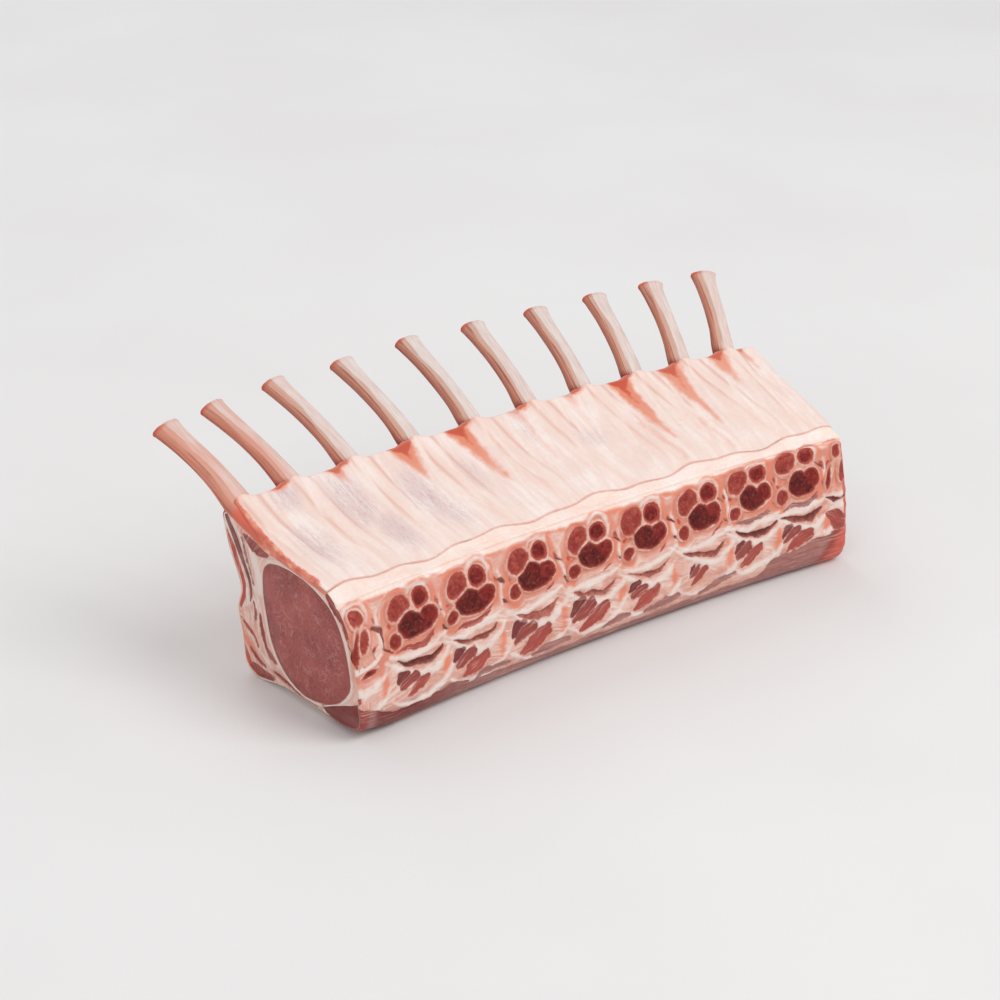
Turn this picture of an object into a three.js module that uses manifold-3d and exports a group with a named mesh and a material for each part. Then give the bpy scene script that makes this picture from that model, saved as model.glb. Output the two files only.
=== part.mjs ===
// A frenched rack of pork, raw: a bar of loin cut across at both ends, with the rib bones scraped
// bare and standing out along one long edge, and the spine sawn through along the other.
// Millimetres, +Z up. X runs along the spine, Y from the sawn spine to the rib tips, and the
// rack lies on its fat side, so its underside is flat at Z = 0.

import * as THREE from 'three';
import { LoftGeometry } from 'three/addons/geometries/LoftGeometry.js';
import { mergeVertices } from 'three/addons/utils/BufferGeometryUtils.js';
import Module from 'manifold-3d';

// Driving dimensions of the whole rack: length of the meat, how far the spine bows, and the middle
// of the rack's box, which becomes the origin
const LENGTH = 340;
const BOW = 8.4;
const MIDDLE = { along: -5.55, across: 73.95 };
// The left end is cut square with a soft edge; the right end bulges, and its rib edge is cut back
const LEFT_EDGE = { depth: 2.5, inset: 0.018 };
const RIGHT_EDGE = { bulge: 8, shoulder: 0.6, shoulderInset: 0.03, inset: 0.1 };
const RIGHT_RAKE = { cutBack: 7.5, fromUp: 70, toUp: 110 };
const HEART = { across: 42, up: 45 };
// Clearance between pieces, and how far cutting bars run past the ends
const GAP = 0.3;
const OVERRUN = 5;

// Section through the meat as [across, up], anticlockwise from the spine's top edge
const LEFT_END = {
  spineFace: [[3, 77.5], [-4, 56], [-8, 34], [-12, 9.5]],
  frontCorner: [[-12, 9.5], [-8, 2.5], [4, 0]],
  underside: [[4, 0], [82, 0]],
  back: [[82, 0], [91, 6], [93, 22], [95.5, 38], [91, 54], [100, 74], [106, 92]],
  ribCut: [[106, 92], [94, 102.5]],
  innerFace: [[94, 102.5], [72, 91.5], [48, 84.5], [22, 82], [3, 77.5]],
};
const RIGHT_END = {
  spineFace: [[0, 77.5], [-6, 56], [-10, 34], [-12, 9.5]],
  frontCorner: [[-12, 9.5], [-8, 2.5], [4, 0]],
  underside: [[4, 0], [78, 0]],
  back: [[78, 0], [87, 6], [91, 24], [93, 42], [93, 60], [93, 80], [92, 100]],
  ribCut: [[92, 100], [80, 109]],
  innerFace: [[80, 109], [62, 100.5], [38, 93], [16, 85.5], [0, 77.5]],
};
const RUN_STEPS = { spineFace: 4, frontCorner: 3, underside: 1, back: 9, ribCut: 1, innerFace: 9 };

// Ribs: stations along the spine where each leaves the meat, and where the middle one's tip is,
// with how the others differ from it towards the right end
const RIB_STATIONS = [-161.5, -134, -97, -58, -19, 18, 54, 88, 120, 150];
const RIB_RIDGE = { height: 2.2, halfWidth: 13, fadesAt: 0.1, fullAt: 0.7 };
const EDGE_SCALLOP = 1.4;
const RIB_TIP = { across: 148.5, acrossSlope: -12, acrossArch: -14.5, up: 134, upSlope: 6, fan: 13.5 };
const RIB_BEND = { across: 0.45, up: 0.76 };
const RIB_SIZE = { hiddenWidth: 11, hiddenThick: 6, width: 15.5, thick: 9.5, tipWidth: 19, tipThick: 11 };
const RIB_DEPTH = { root: 7, hidden: 3.7, exit: 4 };
const RIB_ROOT = { share: 0.16, settledAt: 0.6, lastStation: 160 };
const RIB_SIDES = 10;
const RIB_STEPS = { hidden: 4, bare: 5 };

// Rib wall: the sheet of meat and membrane that the ribs run through
const WALL_THICK = 7.8;
const WALL_START = 0.15;

// Sawn vertebrae: each is [station, depth below the spine's top edge] of its largest cut face
const VERTEBRAE = [
  [-170, 23], [-129.5, 23], [-90.5, 23.5], [-47.5, 22], [-4, 24.5],
  [35, 24.5], [74, 21.5], [110, 18.5], [145, 16.5], [179, 17],
];
// Lobes of one vertebra: offset [along, up], size [width, height] and tilt of each sawn face
const LOBES = [
  { at: [0, 0], size: [26, 20], tilt: 22 },
  { at: [-9.5, 10.5], size: [17, 14], tilt: 30 },
  { at: [4.8, 12], size: [12, 14], tilt: -10 },
  { at: [-13.5, -3], size: [10, 12], tilt: 0 },
];
const VERTEBRA_MIDDLE = [-3, 4];
const VERTEBRA_CORNERS = 22;
const VERTEBRA_DEPTH = 7;

// Muscles that run the length of the rack, as [across, up], anticlockwise
const EYE_OUTLINE = [
  [38, 75.2], [12, 65], [3.5, 46], [3, 27], [18, 10.5], [38, 5.5], [58, 12], [68, 34], [71, 58], [62, 73],
];
const EYE_SIDES = 30;
const CAP_LAYER = { depth: 6.5, thick: 4, low: 0.2, high: 0.84, edge: 0.12, steps: 9, reachShare: 0.02 };
const SPINE_MUSCLE = [[-40, -6], [24, -6], [24, 2.4], [14, 8.5], [2, 15], [-9, 20], [-40, 24]];

const FLESH = {
  fat: { color: 0xf1d9cd, roughness: 0.42, metalness: 0 },
  ribMeat: { color: 0xeecfc4, roughness: 0.4, metalness: 0 },
  loin: { color: 0x9a4f4e, roughness: 0.4, metalness: 0 },
  darkMeat: { color: 0xa4504a, roughness: 0.42, metalness: 0 },
  rib: { color: 0xdcbfab, roughness: 0.45, metalness: 0 },
  marrow: { color: 0x7d2a26, roughness: 0.45, metalness: 0 },
};

const wasm = await Module();
wasm.setup();

// The spine bows in plan; a point is set by its station, its distance across and its height
function place(station, across, up) {
  const turn = -8 * BOW * station / LENGTH ** 2;
  const bow = BOW * (1 - (2 * station / LENGTH) ** 2);
  const x = station - across * Math.sin(turn);
  const y = bow + across * Math.cos(turn);
  return new THREE.Vector3(x, y, up);
}

function mix(left, right, share) {
  return left + (right - left) * share;
}

function alongShare(station) {
  return (station + LENGTH / 2) / LENGTH;
}

// One run of the section at a station, between its shapes at the two ends
function sectionRun(name, station) {
  const share = THREE.MathUtils.clamp(alongShare(station), 0, 1);
  const points = LEFT_END[name].map((point, index) => new THREE.Vector2(
    mix(point[0], RIGHT_END[name][index][0], share),
    mix(point[1], RIGHT_END[name][index][1], share),
  ));
  return new THREE.SplineCurve(points);
}

// Station of a rib's root, beside its vertebra and clear of the cut ends
function ribRoot(index) {
  return THREE.MathUtils.clamp(VERTEBRAE[index][0], -RIB_ROOT.lastStation, RIB_ROOT.lastStation);
}

// How far the surface is raised over the ribs, from 0 midway between two ribs to 1 on a rib;
// the ribs slant from their vertebrae to where they leave the meat
function ribRise(station, share) {
  let rise = 0;
  RIB_STATIONS.forEach((exit, index) => {
    const line = mix(ribRoot(index), exit, share);
    const offset = Math.min(Math.abs(station - line) / RIB_RIDGE.halfWidth, 1);
    rise = Math.max(rise, 0.5 + 0.5 * Math.cos(Math.PI * offset));
  });
  return rise;
}

// The whole outline of the meat at a station
function meatSection(station) {
  const points = [];
  Object.keys(RUN_STEPS).forEach((name) => {
    const curve = sectionRun(name, station);
    const steps = RUN_STEPS[name];
    for (let step = 0; step < steps; step += 1) {
      const point = curve.getPoint(step / steps);
      if (name === 'innerFace') {
        const share = 1 - step / steps;
        const rise = ribRise(station, share);
        const fullness = THREE.MathUtils.smoothstep(share, RIB_RIDGE.fadesAt, RIB_RIDGE.fullAt);
        point.y += RIB_RIDGE.height * rise * fullness;
        if (step === 0) {
          point.x -= EDGE_SCALLOP * (1 - rise);
          point.y -= 0.5 * EDGE_SCALLOP * (1 - rise);
        }
      }
      points.push(point);
    }
  });
  return points;
}

// Stations along the meat, each with its inset: on every rib, twice between ribs, and at the ends
function meatStations() {
  const left = -LENGTH / 2;
  const right = LENGTH / 2;
  const lastRib = RIB_STATIONS.at(-1);
  const between = 3;
  const stations = [[left, LEFT_EDGE.inset], [left + LEFT_EDGE.depth, 0]];
  for (let rib = 0; rib < RIB_STATIONS.length - 1; rib += 1) {
    for (let step = 0; step < between; step += 1) {
      stations.push([mix(RIB_STATIONS[rib], RIB_STATIONS[rib + 1], step / between), 0]);
    }
  }
  stations.push([lastRib, 0], [mix(lastRib, right, 0.5), 0], [right, 0]);
  stations.push([right + RIGHT_EDGE.shoulder * RIGHT_EDGE.bulge, RIGHT_EDGE.shoulderInset]);
  stations.push([right + RIGHT_EDGE.bulge, RIGHT_EDGE.inset]);
  return stations;
}

function meatGeometry() {
  const heart = new THREE.Vector2(HEART.across, HEART.up);
  const sections = meatStations().map(([station, inset]) => {
    const nearEnd = THREE.MathUtils.smoothstep(station, RIB_STATIONS.at(-1), LENGTH / 2);
    return meatSection(station).map((point) => {
      const { x, y } = point.lerp(heart, inset);
      const height = THREE.MathUtils.smoothstep(y, RIGHT_RAKE.fromUp, RIGHT_RAKE.toUp);
      return place(station - RIGHT_RAKE.cutBack * nearEnd * height, x, y);
    });
  });
  return new LoftGeometry(sections, { capStart: true, capEnd: true });
}

// A bar that follows the bow and runs past both ends of the meat
function barGeometry(outlineAt) {
  const first = -LENGTH / 2 - OVERRUN;
  const last = LENGTH / 2 + RIGHT_EDGE.bulge + OVERRUN;
  const steps = 6;
  const sections = [];
  for (let step = 0; step <= steps; step += 1) {
    const station = mix(first, last, step / steps);
    sections.push(outlineAt(station).map((point) => place(station, point.x, point.y)));
  }
  return new LoftGeometry(sections, { capStart: true, capEnd: true });
}

// Moves each point of a closed outline outwards along the outline's normal
function grow(points, amount) {
  return points.map((point, index) => {
    const before = points.at(index - 1);
    const after = points[(index + 1) % points.length];
    const run = after.clone().sub(before).normalize();
    return new THREE.Vector2(point.x + run.y * amount, point.y - run.x * amount);
  });
}

function eyeOutline(margin) {
  const corners = EYE_OUTLINE.map(([across, up]) => new THREE.Vector3(across, up, 0));
  const loop = new THREE.CatmullRomCurve3(corners, true).getPoints(EYE_SIDES).slice(0, -1);
  return grow(loop.map((point) => new THREE.Vector2(point.x, point.y)), margin);
}

// The cap muscle lies at one depth under the back, thinning to an edge at both ends
function capOutline(station, margin) {
  const back = sectionRun('back', station);
  const outer = [];
  const inner = [];
  const reach = margin * CAP_LAYER.reachShare;
  for (let step = 0; step <= CAP_LAYER.steps; step += 1) {
    const share = mix(CAP_LAYER.low - reach, CAP_LAYER.high + reach, step / CAP_LAYER.steps);
    const point = back.getPoint(share);
    const run = back.getTangent(share);
    const inward = new THREE.Vector2(-run.y, run.x);
    const fullness = Math.sin(Math.PI * mix(CAP_LAYER.edge, 1 - CAP_LAYER.edge, step / CAP_LAYER.steps));
    const half = 0.5 * CAP_LAYER.thick * fullness + margin;
    outer.push(point.clone().addScaledVector(inward, CAP_LAYER.depth - half));
    inner.push(point.clone().addScaledVector(inward, CAP_LAYER.depth + half));
  }
  return outer.concat(inner.reverse());
}

// Everything above a surface that lies one wall's thickness under the inner face, from the wall's
// front edge to well past the rib edge
function wallOutline(station, margin) {
  const face = sectionRun('innerFace', station);
  const steps = 8;
  const reach = 60;
  const cover = 40;
  const lean = 4;
  const points = [];
  for (let step = 0; step <= steps; step += 1) {
    const share = mix(1 - WALL_START, 0, step / steps);
    const point = face.getPoint(share);
    const run = face.getTangent(share);
    points.push(point.addScaledVector(new THREE.Vector2(-run.y, run.x), WALL_THICK + margin));
  }
  const edge = points.at(-1);
  const lead = face.getTangent(0).multiplyScalar(-reach);
  points.push(edge.clone().add(lead));
  points.push(new THREE.Vector2(edge.x + reach, edge.y + reach + cover));
  points.push(new THREE.Vector2(points[0].x - lean, points[0].y + cover));
  points[0].x -= margin;
  points.at(-1).x -= margin;
  return points;
}

function muscleOutline(margin) {
  return grow(SPINE_MUSCLE.map(([across, up]) => new THREE.Vector2(across, up)), margin);
}

// Centre line of one rib, from beside its vertebra, under the inner face and out to its cut tip
function ribPath(index) {
  const exit = RIB_STATIONS[index];
  const spread = alongShare(exit) * 2 - 1;
  const face = sectionRun('innerFace', exit);
  const path = [];
  for (let step = 0; step <= RIB_STEPS.hidden; step += 1) {
    const share = mix(RIB_ROOT.share, 1, step / RIB_STEPS.hidden);
    const point = face.getPoint(1 - share);
    const run = face.getTangent(1 - share);
    const settle = THREE.MathUtils.smoothstep(share, RIB_ROOT.share, RIB_ROOT.settledAt);
    const depth = share === 1 ? RIB_DEPTH.exit : mix(RIB_DEPTH.root, RIB_DEPTH.hidden, settle);
    point.addScaledVector(new THREE.Vector2(-run.y, run.x), depth);
    path.push({ station: mix(ribRoot(index), exit, share), across: point.x, up: point.y, bare: 0 });
  }
  const start = path.at(-1);
  const tipAcross = RIB_TIP.across + RIB_TIP.acrossSlope * spread + RIB_TIP.acrossArch * spread ** 2;
  const tipUp = RIB_TIP.up + RIB_TIP.upSlope * spread;
  const bendAcross = mix(start.across, tipAcross, RIB_BEND.across);
  const bendUp = mix(start.up, tipUp, RIB_BEND.up);
  const curve = new THREE.QuadraticBezierCurve(
    new THREE.Vector2(start.across, start.up),
    new THREE.Vector2(bendAcross, bendUp),
    new THREE.Vector2(tipAcross, tipUp),
  );
  for (let step = 1; step <= RIB_STEPS.bare; step += 1) {
    const bare = step / RIB_STEPS.bare;
    const point = curve.getPoint(bare);
    path.push({ station: exit + RIB_TIP.fan * spread * bare, across: point.x, up: point.y, bare });
  }
  return path;
}

function ribGeometry(index, margin) {
  const path = ribPath(index);
  const centres = path.map((point) => place(point.station, point.across, point.up));
  const sections = centres.map((centre, step) => {
    const before = centres[Math.max(step - 1, 0)];
    const after = centres[Math.min(step + 1, centres.length - 1)];
    const run = after.clone().sub(before).normalize();
    const side = new THREE.Vector3(1, 0, 0).addScaledVector(run, -run.x).normalize();
    const top = new THREE.Vector3().crossVectors(side, run);
    const shown = THREE.MathUtils.smoothstep(step, RIB_STEPS.hidden / 2, RIB_STEPS.hidden);
    const flare = path[step].bare ** 2;
    const width = mix(mix(RIB_SIZE.hiddenWidth, RIB_SIZE.width, shown), RIB_SIZE.tipWidth, flare);
    const thick = mix(mix(RIB_SIZE.hiddenThick, RIB_SIZE.thick, shown), RIB_SIZE.tipThick, flare);
    const overrun = step === 0 ? -margin : 0;
    const ring = [];
    for (let corner = 0; corner < RIB_SIDES; corner += 1) {
      const angle = 2 * Math.PI * corner / RIB_SIDES;
      const point = centre.clone().addScaledVector(run, overrun);
      point.addScaledVector(side, Math.cos(angle) * (width / 2 + margin));
      point.addScaledVector(top, Math.sin(angle) * (thick / 2 + margin));
      ring.push(point);
    }
    return ring.reverse();
  });
  return new LoftGeometry(sections, { capStart: true, capEnd: true });
}

// Frame of the sawn face at a station: along the spine, up the face, and out of the meat
function faceFrame(station, depth) {
  const face = sectionRun('spineFace', station);
  const top = face.getPoint(0);
  const foot = face.getPoint(1);
  const share = depth / top.distanceTo(foot);
  const spot = face.getPoint(share);
  const ahead = place(station + 1, top.x, top.y).sub(place(station - 1, top.x, top.y)).normalize();
  const upward = place(station, top.x, top.y).sub(place(station, foot.x, foot.y)).normalize();
  const outward = new THREE.Vector3().crossVectors(ahead, upward).normalize();
  const frame = new THREE.Matrix4().makeBasis(ahead, upward, outward);
  return frame.setPosition(place(station, spot.x, spot.y));
}

// Distance from the vertebra's middle to the far edge of one lobe, along a direction
function lobeReach(lobe, direction) {
  const middle = new THREE.Vector2(...lobe.at);
  const radii = new THREE.Vector2(...lobe.size).multiplyScalar(0.5);
  const tilt = THREE.MathUtils.degToRad(lobe.tilt);
  const origin = new THREE.Vector2();
  const start = new THREE.Vector2(...VERTEBRA_MIDDLE).sub(middle).rotateAround(origin, -tilt).divide(radii);
  const run = direction.clone().rotateAround(origin, -tilt).divide(radii);
  const halfway = -start.dot(run) / run.lengthSq();
  const room = halfway ** 2 - (start.lengthSq() - 1) / run.lengthSq();
  return room < 0 ? 0 : halfway + Math.sqrt(room);
}

// A vertebra's cluster of sawn lobes, standing out of the face so that the face can trim it
function vertebraGeometry(margin) {
  const corners = [];
  for (let corner = 0; corner < VERTEBRA_CORNERS; corner += 1) {
    const angle = 2 * Math.PI * corner / VERTEBRA_CORNERS;
    const direction = new THREE.Vector2(Math.cos(angle), Math.sin(angle));
    const reach = Math.max(...LOBES.map((lobe) => lobeReach(lobe, direction)));
    corners.push(new THREE.Vector2(...VERTEBRA_MIDDLE).addScaledVector(direction, reach + margin));
  }
  const stand = 8;
  const depth = VERTEBRA_DEPTH + stand + margin;
  const bar = new THREE.ExtrudeGeometry(new THREE.Shape(corners), { depth, bevelEnabled: false });
  return bar.translate(0, 0, stand - depth);
}

// Closed meshes in and out of the boolean library
function solidOf(geometry) {
  const bare = new THREE.BufferGeometry();
  bare.setAttribute('position', geometry.attributes.position);
  bare.setIndex(geometry.index);
  const merged = mergeVertices(bare, 1e-4);
  const vertProperties = new Float32Array(merged.attributes.position.array);
  const triVerts = new Uint32Array(merged.index.array);
  return new wasm.Manifold(new wasm.Mesh({ numProp: 3, vertProperties, triVerts }));
}

function geometryOf(solid) {
  const mesh = solid.getMesh();
  const geometry = new THREE.BufferGeometry();
  geometry.setAttribute('position', new THREE.BufferAttribute(new Float32Array(mesh.vertProperties), 3));
  geometry.setIndex(new THREE.BufferAttribute(new Uint32Array(mesh.triVerts), 1));
  geometry.computeVertexNormals();
  return geometry;
}

function vertebraSolid([station, depth], margin) {
  return solidOf(vertebraGeometry(margin).applyMatrix4(faceFrame(station, depth)));
}

function ordinal(index) {
  return String(index + 1).padStart(2, '0');
}

const meatPieces = new THREE.Group();
const ribPieces = new THREE.Group();
const spinePieces = new THREE.Group();

function addPiece(group, name, solid, finish) {
  const piece = new THREE.Mesh(geometryOf(solid), new THREE.MeshStandardMaterial(finish));
  piece.name = name;
  group.add(piece);
}

// The meat as one block, and the bars that part it into wall, muscles and eye
const meat = solidOf(meatGeometry());
const bars = {
  rib_wall: { outline: wallOutline, finish: FLESH.ribMeat },
  loin_eye: { outline: (station, margin) => eyeOutline(margin), finish: FLESH.loin },
  cap_muscle: { outline: capOutline, finish: FLESH.darkMeat },
  spine_muscle: { outline: (station, margin) => muscleOutline(margin), finish: FLESH.darkMeat },
};
const parted = {};
let fat = meat;
Object.entries(bars).forEach(([name, bar]) => {
  parted[name] = meat.intersect(solidOf(barGeometry((station) => bar.outline(station, 0))));
  fat = fat.subtract(solidOf(barGeometry((station) => bar.outline(station, GAP))));
});

// Each rib lies in a channel through the wall, and each vertebra in a pocket in the fat
RIB_STATIONS.forEach((station, index) => {
  const channel = solidOf(ribGeometry(index, GAP));
  parted.rib_wall = parted.rib_wall.subtract(channel);
  fat = fat.subtract(channel);
  addPiece(ribPieces, `rib_bone_${ordinal(index)}`, solidOf(ribGeometry(index, 0)), FLESH.rib);
});
VERTEBRAE.forEach((spot, index) => {
  const sawn = meat.intersect(vertebraSolid(spot, 0));
  fat = fat.subtract(vertebraSolid(spot, GAP));
  addPiece(spinePieces, `vertebra_${ordinal(index)}`, sawn, FLESH.marrow);
});

addPiece(meatPieces, 'rack_body', fat, FLESH.fat);
Object.keys(bars).forEach((name) => addPiece(meatPieces, name, parted[name], bars[name].finish));

const rack = new THREE.Group();
rack.add(meatPieces, ribPieces, spinePieces);
rack.position.set(-MIDDLE.along, -MIDDLE.across, 0);

export default rack;
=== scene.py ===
import bpy
import numpy as np
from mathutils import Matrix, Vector


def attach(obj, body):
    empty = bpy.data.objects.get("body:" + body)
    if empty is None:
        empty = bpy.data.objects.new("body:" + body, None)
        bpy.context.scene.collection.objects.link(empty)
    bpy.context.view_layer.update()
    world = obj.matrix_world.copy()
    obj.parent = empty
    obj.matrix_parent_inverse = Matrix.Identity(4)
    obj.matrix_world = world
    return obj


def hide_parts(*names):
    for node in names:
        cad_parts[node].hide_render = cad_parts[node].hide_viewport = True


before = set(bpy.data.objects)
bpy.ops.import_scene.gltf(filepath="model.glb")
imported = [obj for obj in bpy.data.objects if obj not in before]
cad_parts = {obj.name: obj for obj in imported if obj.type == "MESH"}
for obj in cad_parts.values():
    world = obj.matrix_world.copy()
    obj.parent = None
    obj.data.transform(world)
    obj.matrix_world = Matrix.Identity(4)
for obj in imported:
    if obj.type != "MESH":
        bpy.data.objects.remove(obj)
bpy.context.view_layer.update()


# Fat block. The rack's body of cover fat, seam fat and gristle, cut from the side of pork with a saw:
# its front is the sawn spine, its ends are cut square across, and the loin eye runs through it.
# It is raw tissue in one piece, and it bows a little along its length.
MM = 0.001
LENGTH = 340.0
BOW = 8.4
MIDDLE_ALONG = -5.55
MIDDLE_ACROSS = 73.95
# The point that the section's corners and ends are drawn in toward, as [across, up]
HEART = np.array([42.0, 45.0])
LEFT_END = -170.0
LEFT_ROUNDING = 2.5
LEFT_INSET = 0.018
RIGHT_END = 170.0
RIGHT_BULGE = 8.0
RIGHT_INSET = 0.1
# How far the right end leans back, along which stations, and up which heights
RIGHT_RAKE = 7.5
RAKE_STATIONS = (150, 170)
RAKE_HEIGHTS = (70, 110)
# How far the left end's foot is raised, along which stations, and up to which height
LEFT_LIFT = 4.6
LIFT_STATIONS = (146, 170)
LIFT_HEIGHTS = (0, 48)
# Runs of the section round the bar as (across, up) points, at the left end and at the right end
SECTION = {
    "spine_face": (
        [(3, 77.5), (-4, 56), (-8, 34), (-12, 9.5)],
        [(0, 77.5), (-6, 56), (-10, 34), (-12, 9.5)],
    ),
    "front_corner": ([(-12, 9.5), (-8, 2.5), (4, 0)], [(-12, 9.5), (-8, 2.5), (4, 0)]),
    "underside": ([(4, 0), (82, 0)], [(4, 0), (78, 0)]),
    "back": (
        [(82, 0), (91, 6), (93, 22), (95.5, 38), (91, 54), (100, 74), (106, 92)],
        [(78, 0), (87, 6), (91, 24), (93, 42), (93, 60), (93, 80), (92, 100)],
    ),
    "rib_cut": ([(106, 92), (94, 102.5)], [(92, 100), (80, 109)]),
    "inner_face": (
        [(94, 102.5), (72, 91.5), (48, 84.5), (22, 82), (3, 77.5)],
        [(80, 109), (62, 100.5), (38, 93), (16, 85.5), (0, 77.5)],
    ),
}
# About how long each run is in millimetres, and the depth that the underside's marks start from
SPINE_FACE_HEIGHT = 69.8
INNER_FACE_REACH = 93.0
BACK_HEIGHT = 98.0
RIB_CUT_REACH = 16.0
CORNER_REACH = 16.0
CORNER_END_DEPTH = 80.0
RIB_STATIONS = [-166.0, -134, -97, -58, -19, 18, 54, 88, 120, 150]
RIB_LAST_ROOT = 160.0
RIB_RIDGE_HEIGHT = 2.2
RIB_RIDGE_HALF_WIDTH = 13.0
EDGE_SCALLOP = 0.5
# Webs of tissue at the ribs' feet: height, offset along the rack from the rib's line, half width
RIB_WEBS = [(1.7, 1.5, 4.2), (1.2, -7.5, 2.6)]
# The membrane's seam as a share of the inner face, and its waves: height, length and start
SEAM_SHARE = 0.137
SEAM_RISE_LEFT = 0.05
SEAM_WAVES = [(0.02, 12.0, 1.0), (0.012, 5.2, 0.0)]
# How an edge is drawn in to round it: its reach along the outline, and its depth
TOP_ROUND = (5.0, 1.7)
TOP_ROUND_LEFT = (20.0, 6.6)
BACK_ROUND = (4.0, 1.2)
# The station of each vertebra and the depth of its heart below the spine's top edge
VERTEBRAE = [
    (-170, 23), (-128.4, 24.2), (-89.7, 24.6), (-47.7, 24), (-6.5, 23.8),
    (31.9, 24.1), (71.4, 23.2), (107.8, 21), (142.8, 20.6), (179, 17),
]
# Lobes of a sawn vertebra: middle along and up, half width, half height and tilt in degrees
LOBES = {
    "heart_left": (-2.2, -0.6, 8.9, 7.5, -6.0),
    "heart_right": (9.2, 0.4, 6.2, 5.8, 24.0),
    "heart_foot": (3.4, -3.6, 9.6, 4.8, 9.0),
    "upper_left": (-9.0, 9.4, 7.6, 5.9, 32.0),
    "upper_right": (5.4, 10.9, 5.9, 5.4, -10.0),
    "lower_left": (-13.9, -6.6, 3.9, 4.4, -14.0),
}
FIRST_LOBES = {
    "upper_left": (5.8, 11.6, 3.9, 4.7, -10.0), "wedge": (7.6, -1.2, 3.2, 6.4, -16.0),
    "foot": (8.4, -20.2, 6.0, 1.9, 10.0), "strip": (2.4, -5.0, 2.3, 10.5, -13.0),
}
LAST_LOBES = {
    "upper_left": (-8.8, 8.2, 3.0, 4.6, -8.0), "wedge": (-6.2, -4.0, 2.7, 6.2, -8.0),
    "strip": (-16.0, -6.0, 1.9, 6.8, -16.0),
}
# How wide the heart is, and how much higher the upper lobes are, at each vertebra from left to right
HEART_WIDTHS = [1.0, 1.04, 1.04, 0.97, 0.96, 0.88, 0.9, 0.87, 0.84, 1.0]
UPPER_LIFTS = [0.0, 0.0, 0.0, 0.0, 0.0, 0.6, 0.4, 1.0, 3.2, 0.0]


def varied(seed):
    """One vertebra's own lobes: the usual ones, each a little moved, resized and turned."""
    chance = np.random.default_rng(seed)
    own = {}
    for name, (a, b, wide, tall, tilt) in LOBES.items():
        if name.startswith("heart"):
            a *= HEART_WIDTHS[seed - 1]
            wide *= HEART_WIDTHS[seed - 1]
        if name.startswith("upper"):
            b += UPPER_LIFTS[seed - 1]
        move_a, move_b, grow, turn = chance.uniform(-1, 1, 4)
        size = 1 + 0.06 * grow
        own[name] = (a + 0.5 * move_a, b + 0.5 * move_b, wide * size, tall * size, tilt + 8 * turn)
    return own


LOBE_SETS = [FIRST_LOBES] + [varied(seed) for seed in range(2, 10)] + [LAST_LOBES]
LOBE_RIM = 1.3
POCKET_DEPTH = 3.0
# Low domes on the spine's top edge, each a little to the right of its vertebra
DOME_HEIGHTS = [1.5, 2.8, 2.4, 2.0, 1.6, 1.2, 0.8, 0.6, 0.6, 0.4]
DOME_SHIFT = 5.5
DOME_HALF_LENGTH = 8.0
DOME_HALF_WIDTH = 5.5
WALL_THICK = 7.8
WALL_THICK_LEFT = 3.3
WALL_CUT_SHARE = 0.47
MUSCLE_TOP = [(2, 15), (14, 8.5), (24, 2.4)]
MUSCLE_TOP_SHARE = 0.83
MUSCLE_REACH_SHARE = 0.256
EYE_MIDDLE = np.array([35.0, 42.0])
EYE_OUTLINE = [
    (58, 79), (69, 72.5), (71, 58), (69, 43), (64.5, 25.5), (54.5, 10), (38, 2.8), (20, 6),
    (7, 14), (-2, 27), (-1.6, 41), (4.4, 60), (15, 72.4), (36, 79.4),
]
FAR = 30.0


def mix(low, high, share):
    return low + (high - low) * share


def ease(value, start, end):
    share = np.clip((value - start) / (end - start), 0.0, 1.0)
    return share * share * (3 - 2 * share)


def hump(value, middle, half_width):
    return np.exp(-(((value - middle) / half_width) ** 2))


def unit(vectors):
    return vectors / np.linalg.norm(vectors, axis=-1, keepdims=True)


def together(*parts):
    """Points from their coordinates, which may differ in shape."""
    return np.stack(np.broadcast_arrays(*parts), axis=-1)


def foot_lift(station, across, up):
    """How far the left end's foot is raised off the floor under the loin eye."""
    inside = ease(80 - across, 0, 26) * (1 - 0.25 * ease(30 - across, 0, 25))
    return LEFT_LIFT * ease(-station, *LIFT_STATIONS) * inside * (1 - ease(up, *LIFT_HEIGHTS))


def place(station, across, up):
    up = up + foot_lift(station, across, up)
    turn = -8 * BOW * station / LENGTH**2
    bow = BOW * (1 - (2 * station / LENGTH) ** 2)
    x = station - across * np.sin(turn) - MIDDLE_ALONG
    y = bow + across * np.cos(turn) - MIDDLE_ACROSS
    return together(x, y, up) * MM


def curve(before, start, end, after, t):
    """Point a share t of the way from start to end, on a smooth curve through four points."""
    leave = (end - before) / 2
    arrive = (after - start) / 2
    cubic = (2 * start - 2 * end + leave + arrive) * t**3
    square = (3 * end - 3 * start - 2 * leave - arrive) * t**2
    return cubic + square + leave * t + start


def run_point(name, station, share):
    """Point [across, up] on one run of the section, which changes evenly from end to end."""
    station, share = np.broadcast_arrays(np.asarray(station, float), np.asarray(share, float))
    left, right = (np.array(points, float) for points in SECTION[name])
    knots = mix(left, right, np.clip(station / LENGTH + 0.5, 0, 1)[..., None, None])
    last = len(left) - 1
    spot = np.clip(share, 0, 1) * last
    step = np.minimum(spot.astype(int), last - 1)

    def knot(index):
        chosen = np.clip(index, 0, last)[..., None, None]
        return np.take_along_axis(knots, chosen, axis=-2)[..., 0, :]

    return curve(*(knot(step + offset) for offset in (-1, 0, 1, 2)), (spot - step)[..., None])


def inward(name, station, share, step=0.01):
    """Direction straight into the section from a point on one of its runs."""
    run = unit(run_point(name, station, share + step) - run_point(name, station, share - step))
    return together(-run[..., 1], run[..., 0])


def raised_point(name, station, share, relief):
    """Point on a run, moved straight out of the section by a relief in millimetres."""
    out = -inward(name, station, share, 0.004)
    return run_point(name, station, share) + out * np.asarray(relief)[..., None]


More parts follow.
